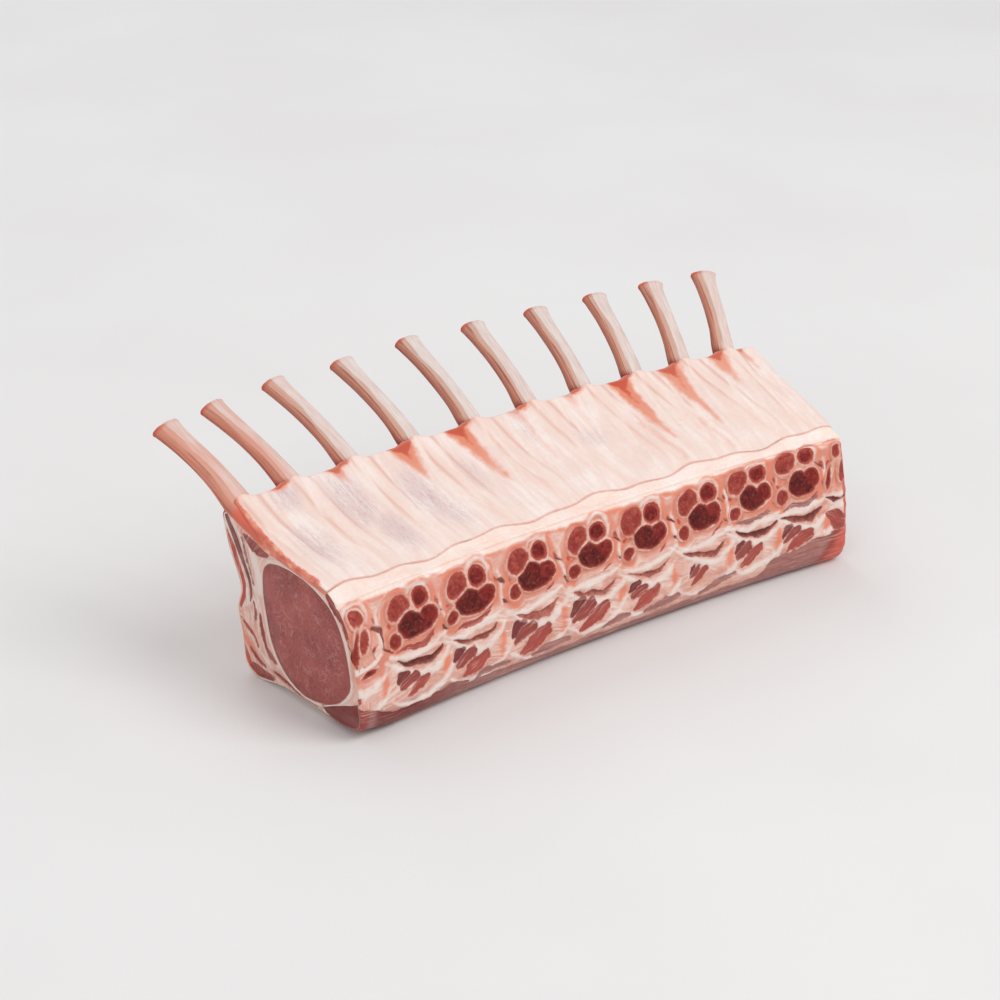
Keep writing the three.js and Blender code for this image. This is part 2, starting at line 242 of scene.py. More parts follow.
def rib_gap(station, share):
    """Distance along the rack from the nearest rib's line under the inner face."""
    gap = np.full(np.broadcast(station, share).shape, 100.0)
    for exit_station, (root, _) in zip(RIB_STATIONS, VERTEBRAE):
        offset = station - mix(np.clip(root, -RIB_LAST_ROOT, RIB_LAST_ROOT), exit_station, share)
        gap = np.where(np.abs(offset) < np.abs(gap), offset, gap)
    return gap


def rib_rise(station, share):
    """How far the inner face is raised over the ribs, 0 between two ribs and 1 on a rib."""
    offset = np.abs(rib_gap(station, share)) / RIB_RIDGE_HALF_WIDTH
    return 0.5 + 0.5 * np.cos(np.pi * np.minimum(offset, 1))


def inner_point(station, share):
    """Point on the inner face; share is 0 at the spine's top edge and 1 at the rib edge."""
    point = run_point("inner_face", station, 1 - share).copy()
    rise = rib_rise(station, share)
    gap = rib_gap(station, share)
    fall = EDGE_SCALLOP * (1 - rise) * ease(share, 0.94, 1.0)
    web = sum(height * hump(gap, offset, half) for height, offset, half in RIB_WEBS)
    web = web * ease(share, 0.9, 1.0)
    point[..., 0] += 0.7 * web - fall
    ridge = RIB_RIDGE_HEIGHT * rise * ease(share, 0.1, 0.7) * (1 - 0.4 * ease(share, 0.85, 1.0))
    point[..., 1] += ridge + 0.7 * web - 0.5 * fall
    return point


def seam_share(station):
    """Where the membrane starts on the inner face: a wavering line beside the spine's top edge."""
    waver = sum(height * np.sin(station / length + start) for height, length, start in SEAM_WAVES)
    return SEAM_SHARE + waver + SEAM_RISE_LEFT * ease(-station, 140, 170)


def wall_floor(station, share):
    """Point under the rib wall, where it lies on the fat; the wall is thin low on the left end."""
    face = inner_point(station, share)
    seam_side = 1 - ease(share - seam_share(station), 0.0, 0.12)
    way = mix(inward("inner_face", station, 1 - share), unit(EYE_MIDDLE - face), seam_side[..., None])
    thin = ease(-station, 156, 169) * (1 - ease(share, 0.5, 0.72))
    under = face + way * mix(WALL_THICK, WALL_THICK_LEFT, thin)[..., None]
    return mix(under, run_point("rib_cut", station, WALL_CUT_SHARE), ease(share, 0.9, 1.0)[..., None])


def raked(station, point, out=0.0):
    """Places a point of the section, moved out along the rack; the right end leans back at its top."""
    up = point[..., 1]
    lean = RIGHT_RAKE * ease(station, *RAKE_STATIONS) * ease(up, *RAKE_HEIGHTS)
    return place(station - lean + out, point[..., 0], up)


def set_in_rack(station, point):
    """Places a section's point, with the left end's edge softened and the right end bulging."""
    near_left = np.clip(1 - (station - LEFT_END) / LEFT_ROUNDING, 0, 1)
    near_right = np.clip((station - RIGHT_END) / RIGHT_BULGE, 0, 1)
    inset = LEFT_INSET * (1 - np.sqrt(1 - near_left**2)) + RIGHT_INSET * (1 - np.sqrt(1 - near_right**2))
    return raked(station, mix(point, HEART, inset[..., None]))


def rounded(point, beside, reach, depth):
    """Draws a section's corner in, so that it is round; beside is the distance along the outline."""
    pull = depth * np.clip(1 - np.abs(beside) / reach, 0, 1) ** 2
    return point + unit(HEART - point) * pull[..., None]


def round_top(station, point, beside):
    """Rounds the spine's top edge, which falls away toward the left end and swells over the lobes."""
    near_left = ease(-station, 150, 170)
    reach, depth = (mix(usual, left, near_left) for usual, left in zip(TOP_ROUND, TOP_ROUND_LEFT))
    point = rounded(point, beside, reach, depth)
    rise = 0.0
    for height, (middle, _) in zip(DOME_HEIGHTS, VERTEBRAE):
        rise = rise + height * hump(station, middle + DOME_SHIFT, DOME_HALF_LENGTH)
    return point + unit(point - HEART) * (rise * hump(beside, 0, DOME_HALF_WIDTH))[..., None]


# Whole numbers that scatter a cell's place into a value of its own
CELL_KEYS = np.array([73856093, 19349663, 83492791])
SCATTER = [(15, 0x2C1B3C6D), (12, 0x297A2D39)]
LARGEST_KEY = 0xFFFFFFFF
SEED_STEP = 31.7


def lumps(points, size, seed):
    """Smooth unevenness from -1 to 1 at points in millimetres, with lumps about one size across."""
    spot = np.asarray(points, float) / size + SEED_STEP * seed
    cell = np.floor(spot).astype(np.int64)
    part = spot - cell
    part = part * part * (3 - 2 * part)
    total = np.zeros(spot.shape[:-1])
    for corner in np.ndindex(2, 2, 2):
        key = ((cell + corner) * CELL_KEYS).sum(axis=-1) & LARGEST_KEY
        for shift, factor in SCATTER:
            key = ((key ^ (key >> shift)) * factor) & LARGEST_KEY
        key ^= key >> 15
        weight = np.prod(np.where(corner, part, 1 - part), axis=-1)
        total += weight * (key / (LARGEST_KEY // 2) - 1)
    return total


def grain(along, up, size, seed):
    return lumps(together(along, up, 0.0), size, seed)


def stroke(along, up, points):
    """Distance inside a brush stroke through (along, up, half width) points, positive inside."""
    best = np.full(np.broadcast(along, up).shape, -FAR)
    for (a, b, wide), (a_next, b_next, wide_next) in zip(points, points[1:]):
        run_a = a_next - a
        run_b = b_next - b
        share = ((along - a) * run_a + (up - b) * run_b) / (run_a**2 + run_b**2)
        share = np.clip(share, 0, 1)
        gap = np.hypot(along - a - run_a * share, up - b - run_b * share)
        best = np.maximum(best, mix(wide, wide_next, share) - gap)
    return best


def oval(along, up, shape):
    """Distance inside a tilted oval (middle along, middle up, half width, half height, tilt)."""
    middle_along, middle_up, half_width, half_height, tilt = shape
    angle = np.radians(tilt)
    a = (along - middle_along) * np.cos(angle) + (up - middle_up) * np.sin(angle)
    b = (up - middle_up) * np.cos(angle) - (along - middle_along) * np.sin(angle)
    return (1 - np.hypot(a / half_width, b / half_height)) * min(half_width, half_height)


def cluster(lobes, along, up, grow=0.0):
    """Distance inside a vertebra's group of lobes, each grown by a rim."""
    grown = [(a, b, wide + grow, tall + grow, tilt) for a, b, wide, tall, tilt in lobes.values()]
    return np.max([oval(along, up, shape) for shape in grown], axis=0)


TONE_REACH = 2.0
# Marks that the tissue's colours are made from: distances inside a mark in millimetres, and shares
MARKS = {
    "lean": -FAR, "tone": 0.5, "slit": -FAR, "pale": -FAR,
    "salmon": -FAR, "rosy_and_foot_shade": 0.3, "vein": FAR, "flow": FAR,
}


def blank_marks(shape):
    return {name: np.full(shape, value) for name, value in MARKS.items()}


def lay(marks, name, distance, tone=None):
    """Adds a mark, and its tone on it and just beside it, where no like mark lies deeper."""
    deeper = (distance > marks[name]) & (distance > -TONE_REACH)
    if tone is not None:
        marks["tone"] = np.where(deeper, tone, marks["tone"])
    marks[name] = np.maximum(marks[name], distance)


# What lies round each vertebra on the sawn face, from the middle of its heart-shaped lobe:
# strokes of (along, up, half width)
UNDER_SLIT = [
    (-14, -18.8, 0.4), (-8, -21.4, 1.5), (0, -23.4, 2.2),
    (7, -23.6, 2.3), (12, -21.6, 1.5), (15.5, -18.6, 0.4),
]
SIDE_CRACKS = [
    [(-24, 4.6, 0.5), (-21.4, 3.2, 1.3), (-19.4, 1.4, 0.5)],
    [(-21, -7.4, 0.5), (-19.6, -9, 1.4), (-17.6, -10.6, 0.4)],
]
FIRST_CRACK = [(-27, 5.4, 0.5), (-21.8, 3.6, 1.1), (-22.1, -2.3, 0.7), (-22.6, -8, 1.2), (-16.5, -12.2, 0.5)]
LAST_SLIT = [(-18, -17.5, 0.5), (-13, -20.4, 1.1), (-5, -21.8, 0.8)]
STRANDS = [
    [(-19, -15.4, 0.8), (-13.5, -18.2, 1.4), (-5.7, -18.4, 1.8), (4.5, -17, 1.9), (13.3, -15.4, 1.6),
     (18.5, -12.6, 0.9)],
    [(-21, -17, 0.6), (-14, -21.8, 1.2), (-9, -24.6, 1.5), (-4.5, -27.2, 1.5), (3, -29.6, 1.7),
     (10, -28.8, 1.7), (17, -24.5, 1.2), (20.5, -20.5, 0.8)],
    [(-20, -38, 0.6), (-10, -43, 1.4), (5, -42, 1.6), (16, -37.5, 1.5), (22, -32, 0.8)],
    [(18.5, 9, 0.5), (18.8, 0, 1.0), (19.4, -9, 0.8)],
    [(-1.5, 14, 0.5), (1, 18.2, 0.8), (6, 19.4, 0.9), (10.5, 17.6, 0.9), (12.2, 12, 0.8), (11, 7.5, 0.5)],
]
SALMON_ARCS = [
    [(11, 18.6, 0.6), (18, 18, 1.3), (26, 17.6, 0.6)],
    [(17, -22, 1.2), (18.5, -29, 2.2), (16.5, -36, 1.2)],
    [(-19.5, -1, 0.8), (-18.6, -8, 1.4), (-14, -13, 1.2)],
    [(-16, 15.8, 0.5), (-11, 17.8, 1.4), (-4, 17.2, 0.8)],
    [(-3, 15.5, 0.3), (0.5, 20, 0.6), (6, 22, 0.8), (11.5, 20, 0.8), (15, 14.5, 0.7), (16, 8, 0.3)],
    [(-18, 1.5, 0.6), (-14.5, -1, 1.6), (-12, -2.6, 0.6)],
    [(12.5, -8, 0.4), (16.2, -2, 0.8), (17, 5, 0.5)],
]
FIRST_ARC = [(5, 20.3, 0.8), (9.5, 19.4, 1.2), (13.3, 15, 1.4), (15.8, 7.6, 1.0)]
WEDGES = [
    ([(-16.5, -29.8, 1.4), (-13.2, -27, 3.3), (-9.6, -25.2, 2.2)], -0.5),
    ([(-15, -33.2, 1.4), (-9.6, -31.2, 3.0), (-4, -28.8, 3.0)], 0.42),
    ([(-12, -39.6, 0.8), (-6, -37, 2.8), (0, -34.4, 3.8), (6, -32.2, 3.0)], 0.62),
]
WEDGE_MIDDLE = (-5.0, -32.0)
LAST_WEDGES = [([(-17, -29, 2.4), (-11, -32, 4.8), (-5, -35.5, 3.4)], 0.58)]
RED_FLECKS = [
    ((9.5, -10.6, 3.6, 0.8, 40), 0.7),
    ((16.4, 6.0, 0.8, 2.0, 15), 0.62),
    ((-16, 1.6, 1.2, 1.6, 0), 0.85),
]
FIRST_FLECK = (10.5, -10.5, 6.2, 1.5, 43)
# The band of lean meat between the lobes and the strand under them, at the vertebrae that show one
LOW_BAND = [(-13, -15, 0.6), (-6, -13.8, 1.5), (3, -14.4, 1.6), (11, -11.4, 1.1)]
BAND_TONES = {1: 0.66, 2: 0.6, 7: 0.12, 8: 0.1}
# The size of the slit, cracks and wedges at each vertebra from left to right, and how dark they are
SLIT_SIZE = [0.0, 0.85, 0.8, 0.95, 0.85, 0.6, 0.8, 0.95, 1.0, 1.0]
SLIT_DARK = [0.9, 0.8, 0.6, 0.3, 0.55, 0.45, 0.6, 0.75, 0.7, 0.7]
CRACK_SIZE = [0.0, 0.75, 0.7, 0.7, 0.6, 0.5, 0.4, 0.5, 0.5, 0.4]
CRACK_DARK = 0.66
WEDGE_SIZE = [0.4, 0.8, 0.95, 1.1, 1.1, 0.85, 0.55, 0.85, 0.9, 1.0]
# How ragged the edge of each kind of stroke is, and how far from a vertebra its own strokes reach
RAGGED = {"pale": 0.7, "salmon": 0.8, "lean": 0.4, "slit": 0.6}
STROKE_REACH = 36.0
# Rows of chance for one vertebra's strokes: the strands and arcs take the first, the others these
CHANCE_ROWS = 22
WEDGE_ROW = 12
FLECK_ROW = 15
BAND_ROW = 18
SLIT_ROW = 19
CRACK_ROW = 20
# Where lean meat is striped: from how far outside it, and from what value its stripes count
STRIPE_RIM = 0.6
STRIPE_START = 9
FLOW_BLEND = 4
# Bare meat along the foot of the sawn face: strokes of (station, depth, half width)
FOOT_MEAT = [
    [(-173, 64, 3.0), (-164, 65.6, 2.4), (-152, 67, 1.4)],
    [(-175, 72.6, 6.8), (-150, 72.4, 6.0), (-120, 72.6, 5.2), (-90, 73.4, 4.6), (-62, 75, 4.2)],
    [(-62, 75, 4.2), (-20, 76.6, 4.8), (40, 77, 5.2), (110, 77, 6.0)],
    [(-176, 80, 9.0), (-166, 79, 8.0), (-150, 77, 5.0)],
    [(-122, 67, 1.2), (-110, 66.2, 2.2), (-98, 67.4, 1.2)],
    [(-92, 68, 1.0), (-82, 65.6, 2.0), (-68, 66.4, 1.4)],
    [(-54, 68, 1.2), (-40, 65.8, 2.6), (-30, 65.4, 2.4)],
    [(-4, 67.4, 1.2), (8, 65, 2.6), (17, 65.6, 1.6)],
    [(28, 67.6, 1.2), (41, 65.4, 2.6), (52, 65, 1.8)],
    [(66, 68, 1.0), (78, 65.6, 2.2), (90, 62.6, 1.6)],
]
# The top of the thick meat at the right end, as (station, depth) points
END_MEAT_LINE = [(106, 72), (114, 67), (119, 62.5), (127, 60), (150, 58), (178, 55.6)]


def sawn_marks(station, depth):
    """Marks on the sawn spine face at a station and a depth below the spine's top edge."""
    station, depth = np.broadcast_arrays(station, depth)
    marks = blank_marks(station.shape)
    drift_a = 1.3 * grain(station, depth, 9, 1) + 0.5 * grain(station, depth, 3.2, 2)
    drift_b = 1.1 * grain(station, depth, 8, 3) + 0.45 * grain(station, depth, 3, 4)
    rough = grain(station, depth, 5, 7)
    chance = np.random.default_rng(11)
    rings = []
    striped = np.full(station.shape, np.nan)
    last = len(VERTEBRAE) - 1
    for index, (middle, level) in enumerate(VERTEBRAE):
        jitter = chance.uniform(-1, 1, (CHANCE_ROWS, 2))
        along = station - middle + drift_a
        up = level - depth + drift_b
        near = np.abs(along) < STROKE_REACH
        rings.append(-cluster(LOBE_SETS[index], along, up))

        def lay_near(name, distance, tone=None):
            lay(marks, name, np.where(near, distance, -FAR), tone)

        def draw(name, points, row, size=1.0, tone=None):
            move = jitter[row]
            moved = [(a + move[0], b + 0.7 * move[1], wide * size) for a, b, wide in points]
            lay_near(name, stroke(along, up, moved) + RAGGED[name] * rough, tone)

        for row, points in enumerate(STRANDS):
            draw("pale", points, row)
        for row, points in enumerate(SALMON_ARCS, len(STRANDS)):
            draw("salmon", points, row)
        for row, (points, tone) in enumerate(LAST_WEDGES if index == last else WEDGES, WEDGE_ROW):
            size = WEDGE_SIZE[index] * (1 + 0.08 * jitter[row][0])
            a, b = WEDGE_MIDDLE
            sized = [(a + (x - a) * size, b + (y - b) * size, wide * size) for x, y, wide in points]
            inside = np.where(near, stroke(along + 0.6 * jitter[row][1], up, sized), -FAR)
            lay(marks, "lean", inside, tone)
            turn = np.arctan2(points[-1][1] - points[0][1], points[-1][0] - points[0][0])
            across = (up - b) * np.cos(turn) - (along - a) * np.sin(turn)
            striped = np.where(inside > -STRIPE_RIM, STRIPE_START + across, striped)
        for row, ((a, b, wide, tall, tilt), tone) in enumerate(RED_FLECKS, FLECK_ROW):
            lay_near("lean", oval(along, up, (a, b, wide * (1 + 0.3 * jitter[row][0]), tall, tilt)), tone)
        if index in BAND_TONES:
            draw("lean", LOW_BAND, BAND_ROW, 1.0, BAND_TONES[index])
        if index == 0:
            draw("salmon", FIRST_ARC, BAND_ROW)
            lay_near("lean", oval(along, up, FIRST_FLECK), 0.5)
        if SLIT_SIZE[index] > 0:
            points = LAST_SLIT if index == last else UNDER_SLIT
            middle_line = np.interp(along, *np.array(points).T[:2])
            darkness = np.clip(SLIT_DARK[index] + 0.1 * (up - middle_line), 0, 1)
            draw("slit", points, SLIT_ROW, SLIT_SIZE[index], darkness)
        if CRACK_SIZE[index] > 0:
            for points in [FIRST_CRACK] if index == 1 else SIDE_CRACKS:
                draw("slit", points, CRACK_ROW, CRACK_SIZE[index], CRACK_DARK)
    foot_tone = 0.05 - 0.5 * ease(-station, 60, 150) + 0.95 * ease(-station, 156, 170)
    for points in FOOT_MEAT:
        inside = stroke(station + 2 * drift_a, depth + drift_b, points)
        lay(marks, "lean", inside, foot_tone)
        striped = np.where(inside > -STRIPE_RIM, STRIPE_START + depth, striped)
    end_meat = np.interp(station, *np.array(END_MEAT_LINE).T)
    in_end = station > END_MEAT_LINE[0][0]
    inside = np.where(in_end, np.clip(depth + drift_b - end_meat, -FAR, 3), -FAR)
    lay(marks, "lean", inside, 0.16 + 0.8 * ease(station + 0.6 * (depth - 60), 160, 174))
    rim = np.clip(station - 173.5 - 1.5 * grain(0 * station, depth, 6, 8), -FAR, 2)
    lay(marks, "lean", np.where((depth > 6) & (depth < 60), rim, -FAR), 0.85)
    striped = np.where(inside > -STRIPE_RIM, STRIPE_START + depth, striped)
    flow = -FLOW_BLEND * np.log(np.exp(-np.array(rings) / FLOW_BLEND).sum(axis=0))
    marks["flow"] = np.where(np.isnan(striped), flow, striped)
    top = 4.6 + 1.2 * grain(station, 0 * depth, 7, 6)
    cloud = 0.2 * grain(station, depth, 11, 5) * ease(depth, 3, 7)
    marks["rosy_and_foot_shade"] = 0.05 + 0.5 * ease(depth - top, -1.4, 3.0) + cloud
    # Painted shade: the foot of the sawn face, where it turns under away from the light, is pushed toward
    # dull mauve, more so toward the left end.
    marks["rosy_and_foot_shade"] += ease(depth, 54, 70) * (0.45 + 0.3 * ease(-station, 50, 120))
    return marks


# What shows on a cut end, as (across, up, half width) strokes with the tone of the meat in them
END_LEAN = [
    ([(103.5, 84.5, 1.6), (97.6, 72.8, 4.0), (92.4, 64, 3.4), (89.2, 56, 2.8), (88.8, 48, 1.9),
      (92, 39.6, 1.0)], 0.74),
    ([(86.5, 86, 1.4), (80, 82.6, 3.2), (72, 80.6, 3.2), (64, 81.4, 1.4)], 0.36),
    ([(17.4, 80, 1.2), (12.8, 76, 2.6), (7.6, 71, 2.6), (4.2, 67.8, 1.6)], 0.5),
    ([(3, 67.2, 1.6), (-1, 59.3, 2.2), (-4.6, 52, 2.0), (-8.6, 42, 1.2)], 0.42),
    ([(74.6, 42, 0.8), (74, 36, 1.7), (73, 30, 2.2), (70.8, 23.2, 1.4)], 0.42),
    ([(70.8, 22.4, 1.2), (67, 18, 2.0), (62.8, 13.2, 1.6)], 0.3),
    ([(91.5, 16, 1.4), (90, 10, 3.8), (87, 5.5, 2.6)], 0.86),
    ([(87, 5, 2.4), (80, 4.6, 4.4), (72, 3.6, 3.4), (64, 3.4, 1.6)], 0.52),
    ([(86, 18, 0.6), (80, 13.5, 1.8), (72, 9.6, 1.0)], 0.5),
    ([(94, 34, 0.6), (88, 30, 1.5), (82, 27, 1.2), (77, 20, 0.8)], 0.66),
    ([(80, 48, 0.5), (78.5, 42, 1.3), (79.5, 36, 0.9)], 0.5),
    ([(88.4, 84, 0.6), (84.4, 72, 0.9), (79, 57.7, 0.6)], 0.1),
]
END_STROKES = {
    "pale": [
        [(104.4, 95, 0.8), (97.7, 80.2, 1.1), (90.2, 66.7, 1.0), (86.4, 58.4, 0.9), (84.9, 46.4, 0.8)],
        [(96.7, 92.1, 0.8), (88.9, 82.6, 1.3), (83.6, 69.3, 1.2), (77.7, 53.3, 0.8)],
        [(84, 84, 0.8), (77, 74, 3.6), (73.6, 64, 2.8), (74, 54, 1.2)],
        [(92.5, 38.3, 0.6), (87.8, 42.7, 1.0), (83.2, 46.1, 1.1), (75, 50.4, 0.8)],
        [(82.8, 33.5, 0.6), (79.1, 43.9, 1.0), (74.4, 49.7, 0.7)],
        [(86.2, 27.1, 0.5), (79.3, 22, 0.9), (68.5, 12.4, 0.6)],
    ],
    "salmon": [
        [(92.6, 29, 1.6), (90, 22, 2.8), (84, 17, 2.2), (74, 12, 1.2)],
        [(90, 52, 1.2), (91, 44, 2.2), (92.5, 36, 1.4)],
        [(55.4, 82, 0.8), (39, 81.8, 1.1), (26, 80, 1.1), (17, 79.6, 0.8)],
    ],
    # The slit strokes lie low on the cut end, just above the floor: dark slits that are partly painted shade
    # along its bottom edge.
    "slit": [
        [(88, 2.4, 0.6), (80, 1.4, 2.0), (68, 1.8, 1.5)],
        [(66, 8, 0.5), (58, 5.6, 1.4), (53.2, 4.2, 1.0)],
        [(52, 3.4, 0.6), (38, 0.6, 0.8), (23, 0.8, 0.4)],
    ],
}


def end_marks(across, up, beside_eye):
    """Marks on a cut end; beside_eye is the distance out from the loin eye."""
    marks = blank_marks(across.shape)
    across = across + 0.7 * grain(across, up, 8, 21)
    up = up + 0.7 * grain(across, up, 8, 22)
    for points, tone in END_LEAN:
        lay(marks, "lean", stroke(across, up, points), tone)
    for name, strokes in END_STROKES.items():
        for points in strokes:
            lay(marks, name, stroke(across, up, points))
    marks["lean"] = np.minimum(marks["lean"], 1.5 * (beside_eye - 1.2))
    lay(marks, "pale", 0.9 - np.abs(beside_eye - 0.6))
    marks["rosy_and_foot_shade"] = 0.42 + 0.3 * (1 - ease(up, 16, 50)) + 0.2 * grain(across, up, 11, 23)
    marks["flow"] = 8 + beside_eye
    return marks


EYE_CURVE_STEPS = 24


def eye_reach(angle):
    """Distance from the loin eye's middle to its outline, a smooth closed curve, along a direction."""
    knots = np.array(EYE_OUTLINE, float)
    t = np.linspace(0, 1, EYE_CURVE_STEPS, endpoint=False)[:, None]
    around = [np.roll(knots, -offset, axis=0) for offset in (-1, 0, 1, 2)]
    offset = np.concatenate([curve(*four, t) for four in zip(*around)]) - EYE_MIDDLE
    angles = np.arctan2(offset[:, 1], offset[:, 0])
    order = np.argsort(angles)
    return np.interp(angle, angles[order], np.hypot(*offset.T)[order], period=2 * np.pi)


def sew(patches):
    """Joins grids that share edges into one mesh: corners, faces and the marks at each corner."""
    corners = np.concatenate([points.reshape(-1, 3) for points, _, _ in patches])
    keys = np.round(corners / (0.001 * MM)).astype(np.int64)
    _, first, spot = np.unique(keys, axis=0, return_index=True, return_inverse=True)
    faces = []
    start = 0
    for points, _, turned in patches:
        rows, columns = points.shape[:2]
        index = start + np.arange(rows * columns).reshape(rows, columns)
        quads = together(index[:-1, :-1], index[:-1, 1:], index[1:, 1:], index[1:, :-1])
        quads = quads.reshape(-1, 4)
        faces.append(quads[:, ::-1] if turned else quads)
        start += rows * columns
    marks = {}
    for name in patches[0][1]:
        marks[name] = np.concatenate([given[name].ravel() for _, given, _ in patches])[first]
    return corners[first], spot.ravel()[np.concatenate(faces)], marks


def outward(corners, faces):
    """The mesh's outward direction at each corner."""
    across = np.cross(
        corners[faces[:, 2]] - corners[faces[:, 0]],
        corners[faces[:, 3]] - corners[faces[:, 1]],
    )
    total = np.zeros_like(corners)
    for side in range(4):
        np.add.at(total, faces[:, side], across)
    return total / np.maximum(np.linalg.norm(total, axis=1, keepdims=True), 1e-15)


SHARP_ANGLE = np.radians(62)


def make_piece(name, patches, material, nodes):
    """A piece from sewn grids, raised by its relief mark in millimetres, riding on the rack's body."""
    corners, faces, marks = sew(patches)
    relief = marks.pop("relief")
    corners = corners + outward(corners, faces) * (relief * MM)[:, None]
    corners[:, 2] = np.maximum(corners[:, 2], 0.0)
    loops = []
    for face in faces.tolist():
        kept = [corner for spot, corner in enumerate(face) if corner != face[spot - 1]]
        if len(kept) > 2:
            loops.append(kept)
    mesh = bpy.data.meshes.new(name)
    mesh.from_pydata(corners.tolist(), [], loops)
    mesh.polygons.foreach_set("use_smooth", [True] * len(mesh.polygons))
    for mark, values in marks.items():
        layer = mesh.attributes.new(mark, "FLOAT", "POINT")
        layer.data.foreach_set("value", values.astype(np.float32))
    mesh.set_sharp_from_angle(angle=SHARP_ANGLE)
    mesh.materials.append(material)
    piece = bpy.data.objects.new(name, mesh)
    bpy.context.scene.collection.objects.link(piece)
    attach(piece, "root")
    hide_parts(*nodes)


def paint(code):
    """The linear colour of a hex code read off a screen."""
    shares = [int(code[digit:digit + 2], 16) / 255 for digit in (1, 3, 5)]
    linear = [s / 12.92 if s <= 0.04045 else ((s + 0.055) / 1.055) ** 2.4 for s in shares]
    return (*linear, 1.0)


class Brush:
    """Adds nodes to one shader tree; a colour may be given as a hex code."""

    def __init__(self, tree):
        self.tree = tree

    def put(self, kind, sockets=None, **settings):
        """Adds a node, sets it up, and fills or links its sockets."""
        node = self.tree.nodes.new("ShaderNode" + kind)
        for name, value in settings.items():
            setattr(node, name, value)
        for key, value in (sockets or {}).items():
            if isinstance(value, bpy.types.NodeSocket):
                self.tree.links.new(value, node.inputs[key])
            else:
                node.inputs[key].default_value = paint(value) if isinstance(value, str) else value
        return node

    def blend(self, share, under, over, **settings):
        return self.put("Mix", {0: share, 6: under, 7: over}, data_type="RGBA", **settings).outputs[2]

    def coats(self, colour, *layers):
        """Lays coats over a colour, each a (share, colour)."""
        for share, over in layers:
            colour = self.blend(share, colour, over)
        return colour

    def sum(self, first, second, operation="ADD"):
        return self.put("Math", {0: first, 1: second}, operation=operation).outputs[0]

    def times(self, first, second):
        return self.sum(first, second, "MULTIPLY")

    def less(self, first, second):
        return self.sum(first, second, "SUBTRACT")

    def off(self, value, middle):
        """How far a value is from a middle one, either way."""
        return self.put("Math", {0: self.less(value, middle)}, operation="ABSOLUTE").outputs[0]

    def spread(self, value, low, high, to_low=0.0, to_high=1.0):
        sockets = {"Value": value, "From Min": low, "From Max": high, "To Min": to_low, "To Max": to_high}
        return self.put("MapRange", sockets, interpolation_type="SMOOTHSTEP").outputs[0]

    def mark(self, name):
        return self.put("Attribute", attribute_name=name).outputs["Fac"]

    def spot(self):
        return self.put("TexCoord").outputs["Object"]

    def noise(self, where, scale, detail, **more):
        return self.put("TexNoise", {"Vector": where, "Scale": scale, "Detail": detail, **more}).outputs[0]

    def effect(self, group, **sockets):
        """Places a shared effect; a socket's name has an underscore for a space."""
        named = {name.replace("_", " "): value for name, value in sockets.items()}
        return self.put("Group", named, node_tree=group).outputs


def new_effect(name, inputs, outputs):
    """A shader node group with named sockets: its inputs are colours where they start as a hex code."""
    group = bpy.data.node_groups.new(name, "ShaderNodeTree")
    for socket, value in inputs.items():
        is_colour = isinstance(value, str)
        kind = "NodeSocketColor" if is_colour else "NodeSocketFloat"
        made = group.interface.new_socket(socket, in_out="INPUT", socket_type=kind)
        made.default_value = paint(value) if is_colour else value
    for socket in outputs:
        kind = "NodeSocketColor" if socket == "Color" else "NodeSocketFloat"
        group.interface.new_socket(socket, in_out="OUTPUT", socket_type=kind)
    given = group.nodes.new("NodeGroupInput").outputs
    ends = group.nodes.new("NodeGroupOutput").inputs

    def give(**values):
        for socket, value in values.items():
            group.links.new(value, ends[socket])

    return group, Brush(group), given, give


# The wandering edge of one tissue against another, from a distance in millimetres
tissue_edge, brush, given, give = new_effect(
    "tissue_edge", {"Distance": 0.0, "Soft": 0.5, "Wander": 0.5, "Fineness": 400.0}, ["Mask"],
)
centred = brush.less(brush.noise(brush.spot(), given["Fineness"], 3.0), 0.5)
wander = brush.times(centred, brush.times(given["Wander"], 3.0))
distance = brush.sum(given["Distance"], wander)
give(Mask=brush.spread(distance, brush.times(given["Soft"], -1.0), given["Soft"]))


def edge(brush, distance, soft, wander, fineness):
    return brush.effect(tissue_edge, Distance=distance, Soft=soft, Wander=wander, Fineness=fineness)["Mask"]


# Cloudy colour, with a fine grain on top, between two tints
mottle, brush, given, give = new_effect(
    "mottle",
    {"Light": "#FFFFFF", "Dark": "#BCBCBC", "Cloud Scale": 60.0, "Grain Scale": 500.0, "Balance": 0.5},
    ["Color"],
)
spot = brush.spot()
cloud = brush.times(brush.noise(spot, given["Cloud Scale"], 4.0), 0.72)
both = brush.sum(cloud, brush.times(brush.noise(spot, given["Grain Scale"], 2.0), 0.28))
share = brush.spread(brush.sum(both, brush.less(given["Balance"], 0.5)), 0.32, 0.68)
give(Color=brush.blend(share, given["Light"], given["Dark"]))


def mottled(brush, light, dark, cloud, fine, balance=0.5):
    sockets = {"Cloud_Scale": cloud, "Grain_Scale": fine, "Balance": balance}
    return brush.effect(mottle, Light=light, Dark=dark, **sockets)["Color"]


# Moisture on a cut or skinned surface: uneven gloss, and a fine bump
moisture, brush, given, give = new_effect(
    "moisture", {"Driest": 0.55, "Wettest": 0.32, "Scale": 220.0}, ["Roughness", "Height"],
)
film = brush.noise(brush.spot(), given["Scale"], 5.0)
gloss = brush.times(brush.spread(film, 0.35, 0.65), brush.less(given["Wettest"], given["Driest"]))
give(Roughness=brush.sum(given["Driest"], gloss), Height=film)

# The thin red line where the membrane starts, over another colour
red_vein, brush, given, give = new_effect("red_vein", {"Under": "#FFFFFF", "Gap": FAR}, ["Color"])
line = edge(brush, brush.less(0.8, brush.off(given["Gap"], 0.0)), 0.6, 0.35, 260.0)
give(Color=brush.blend(brush.times(line, 0.55), given["Under"], "#DF7D68"))

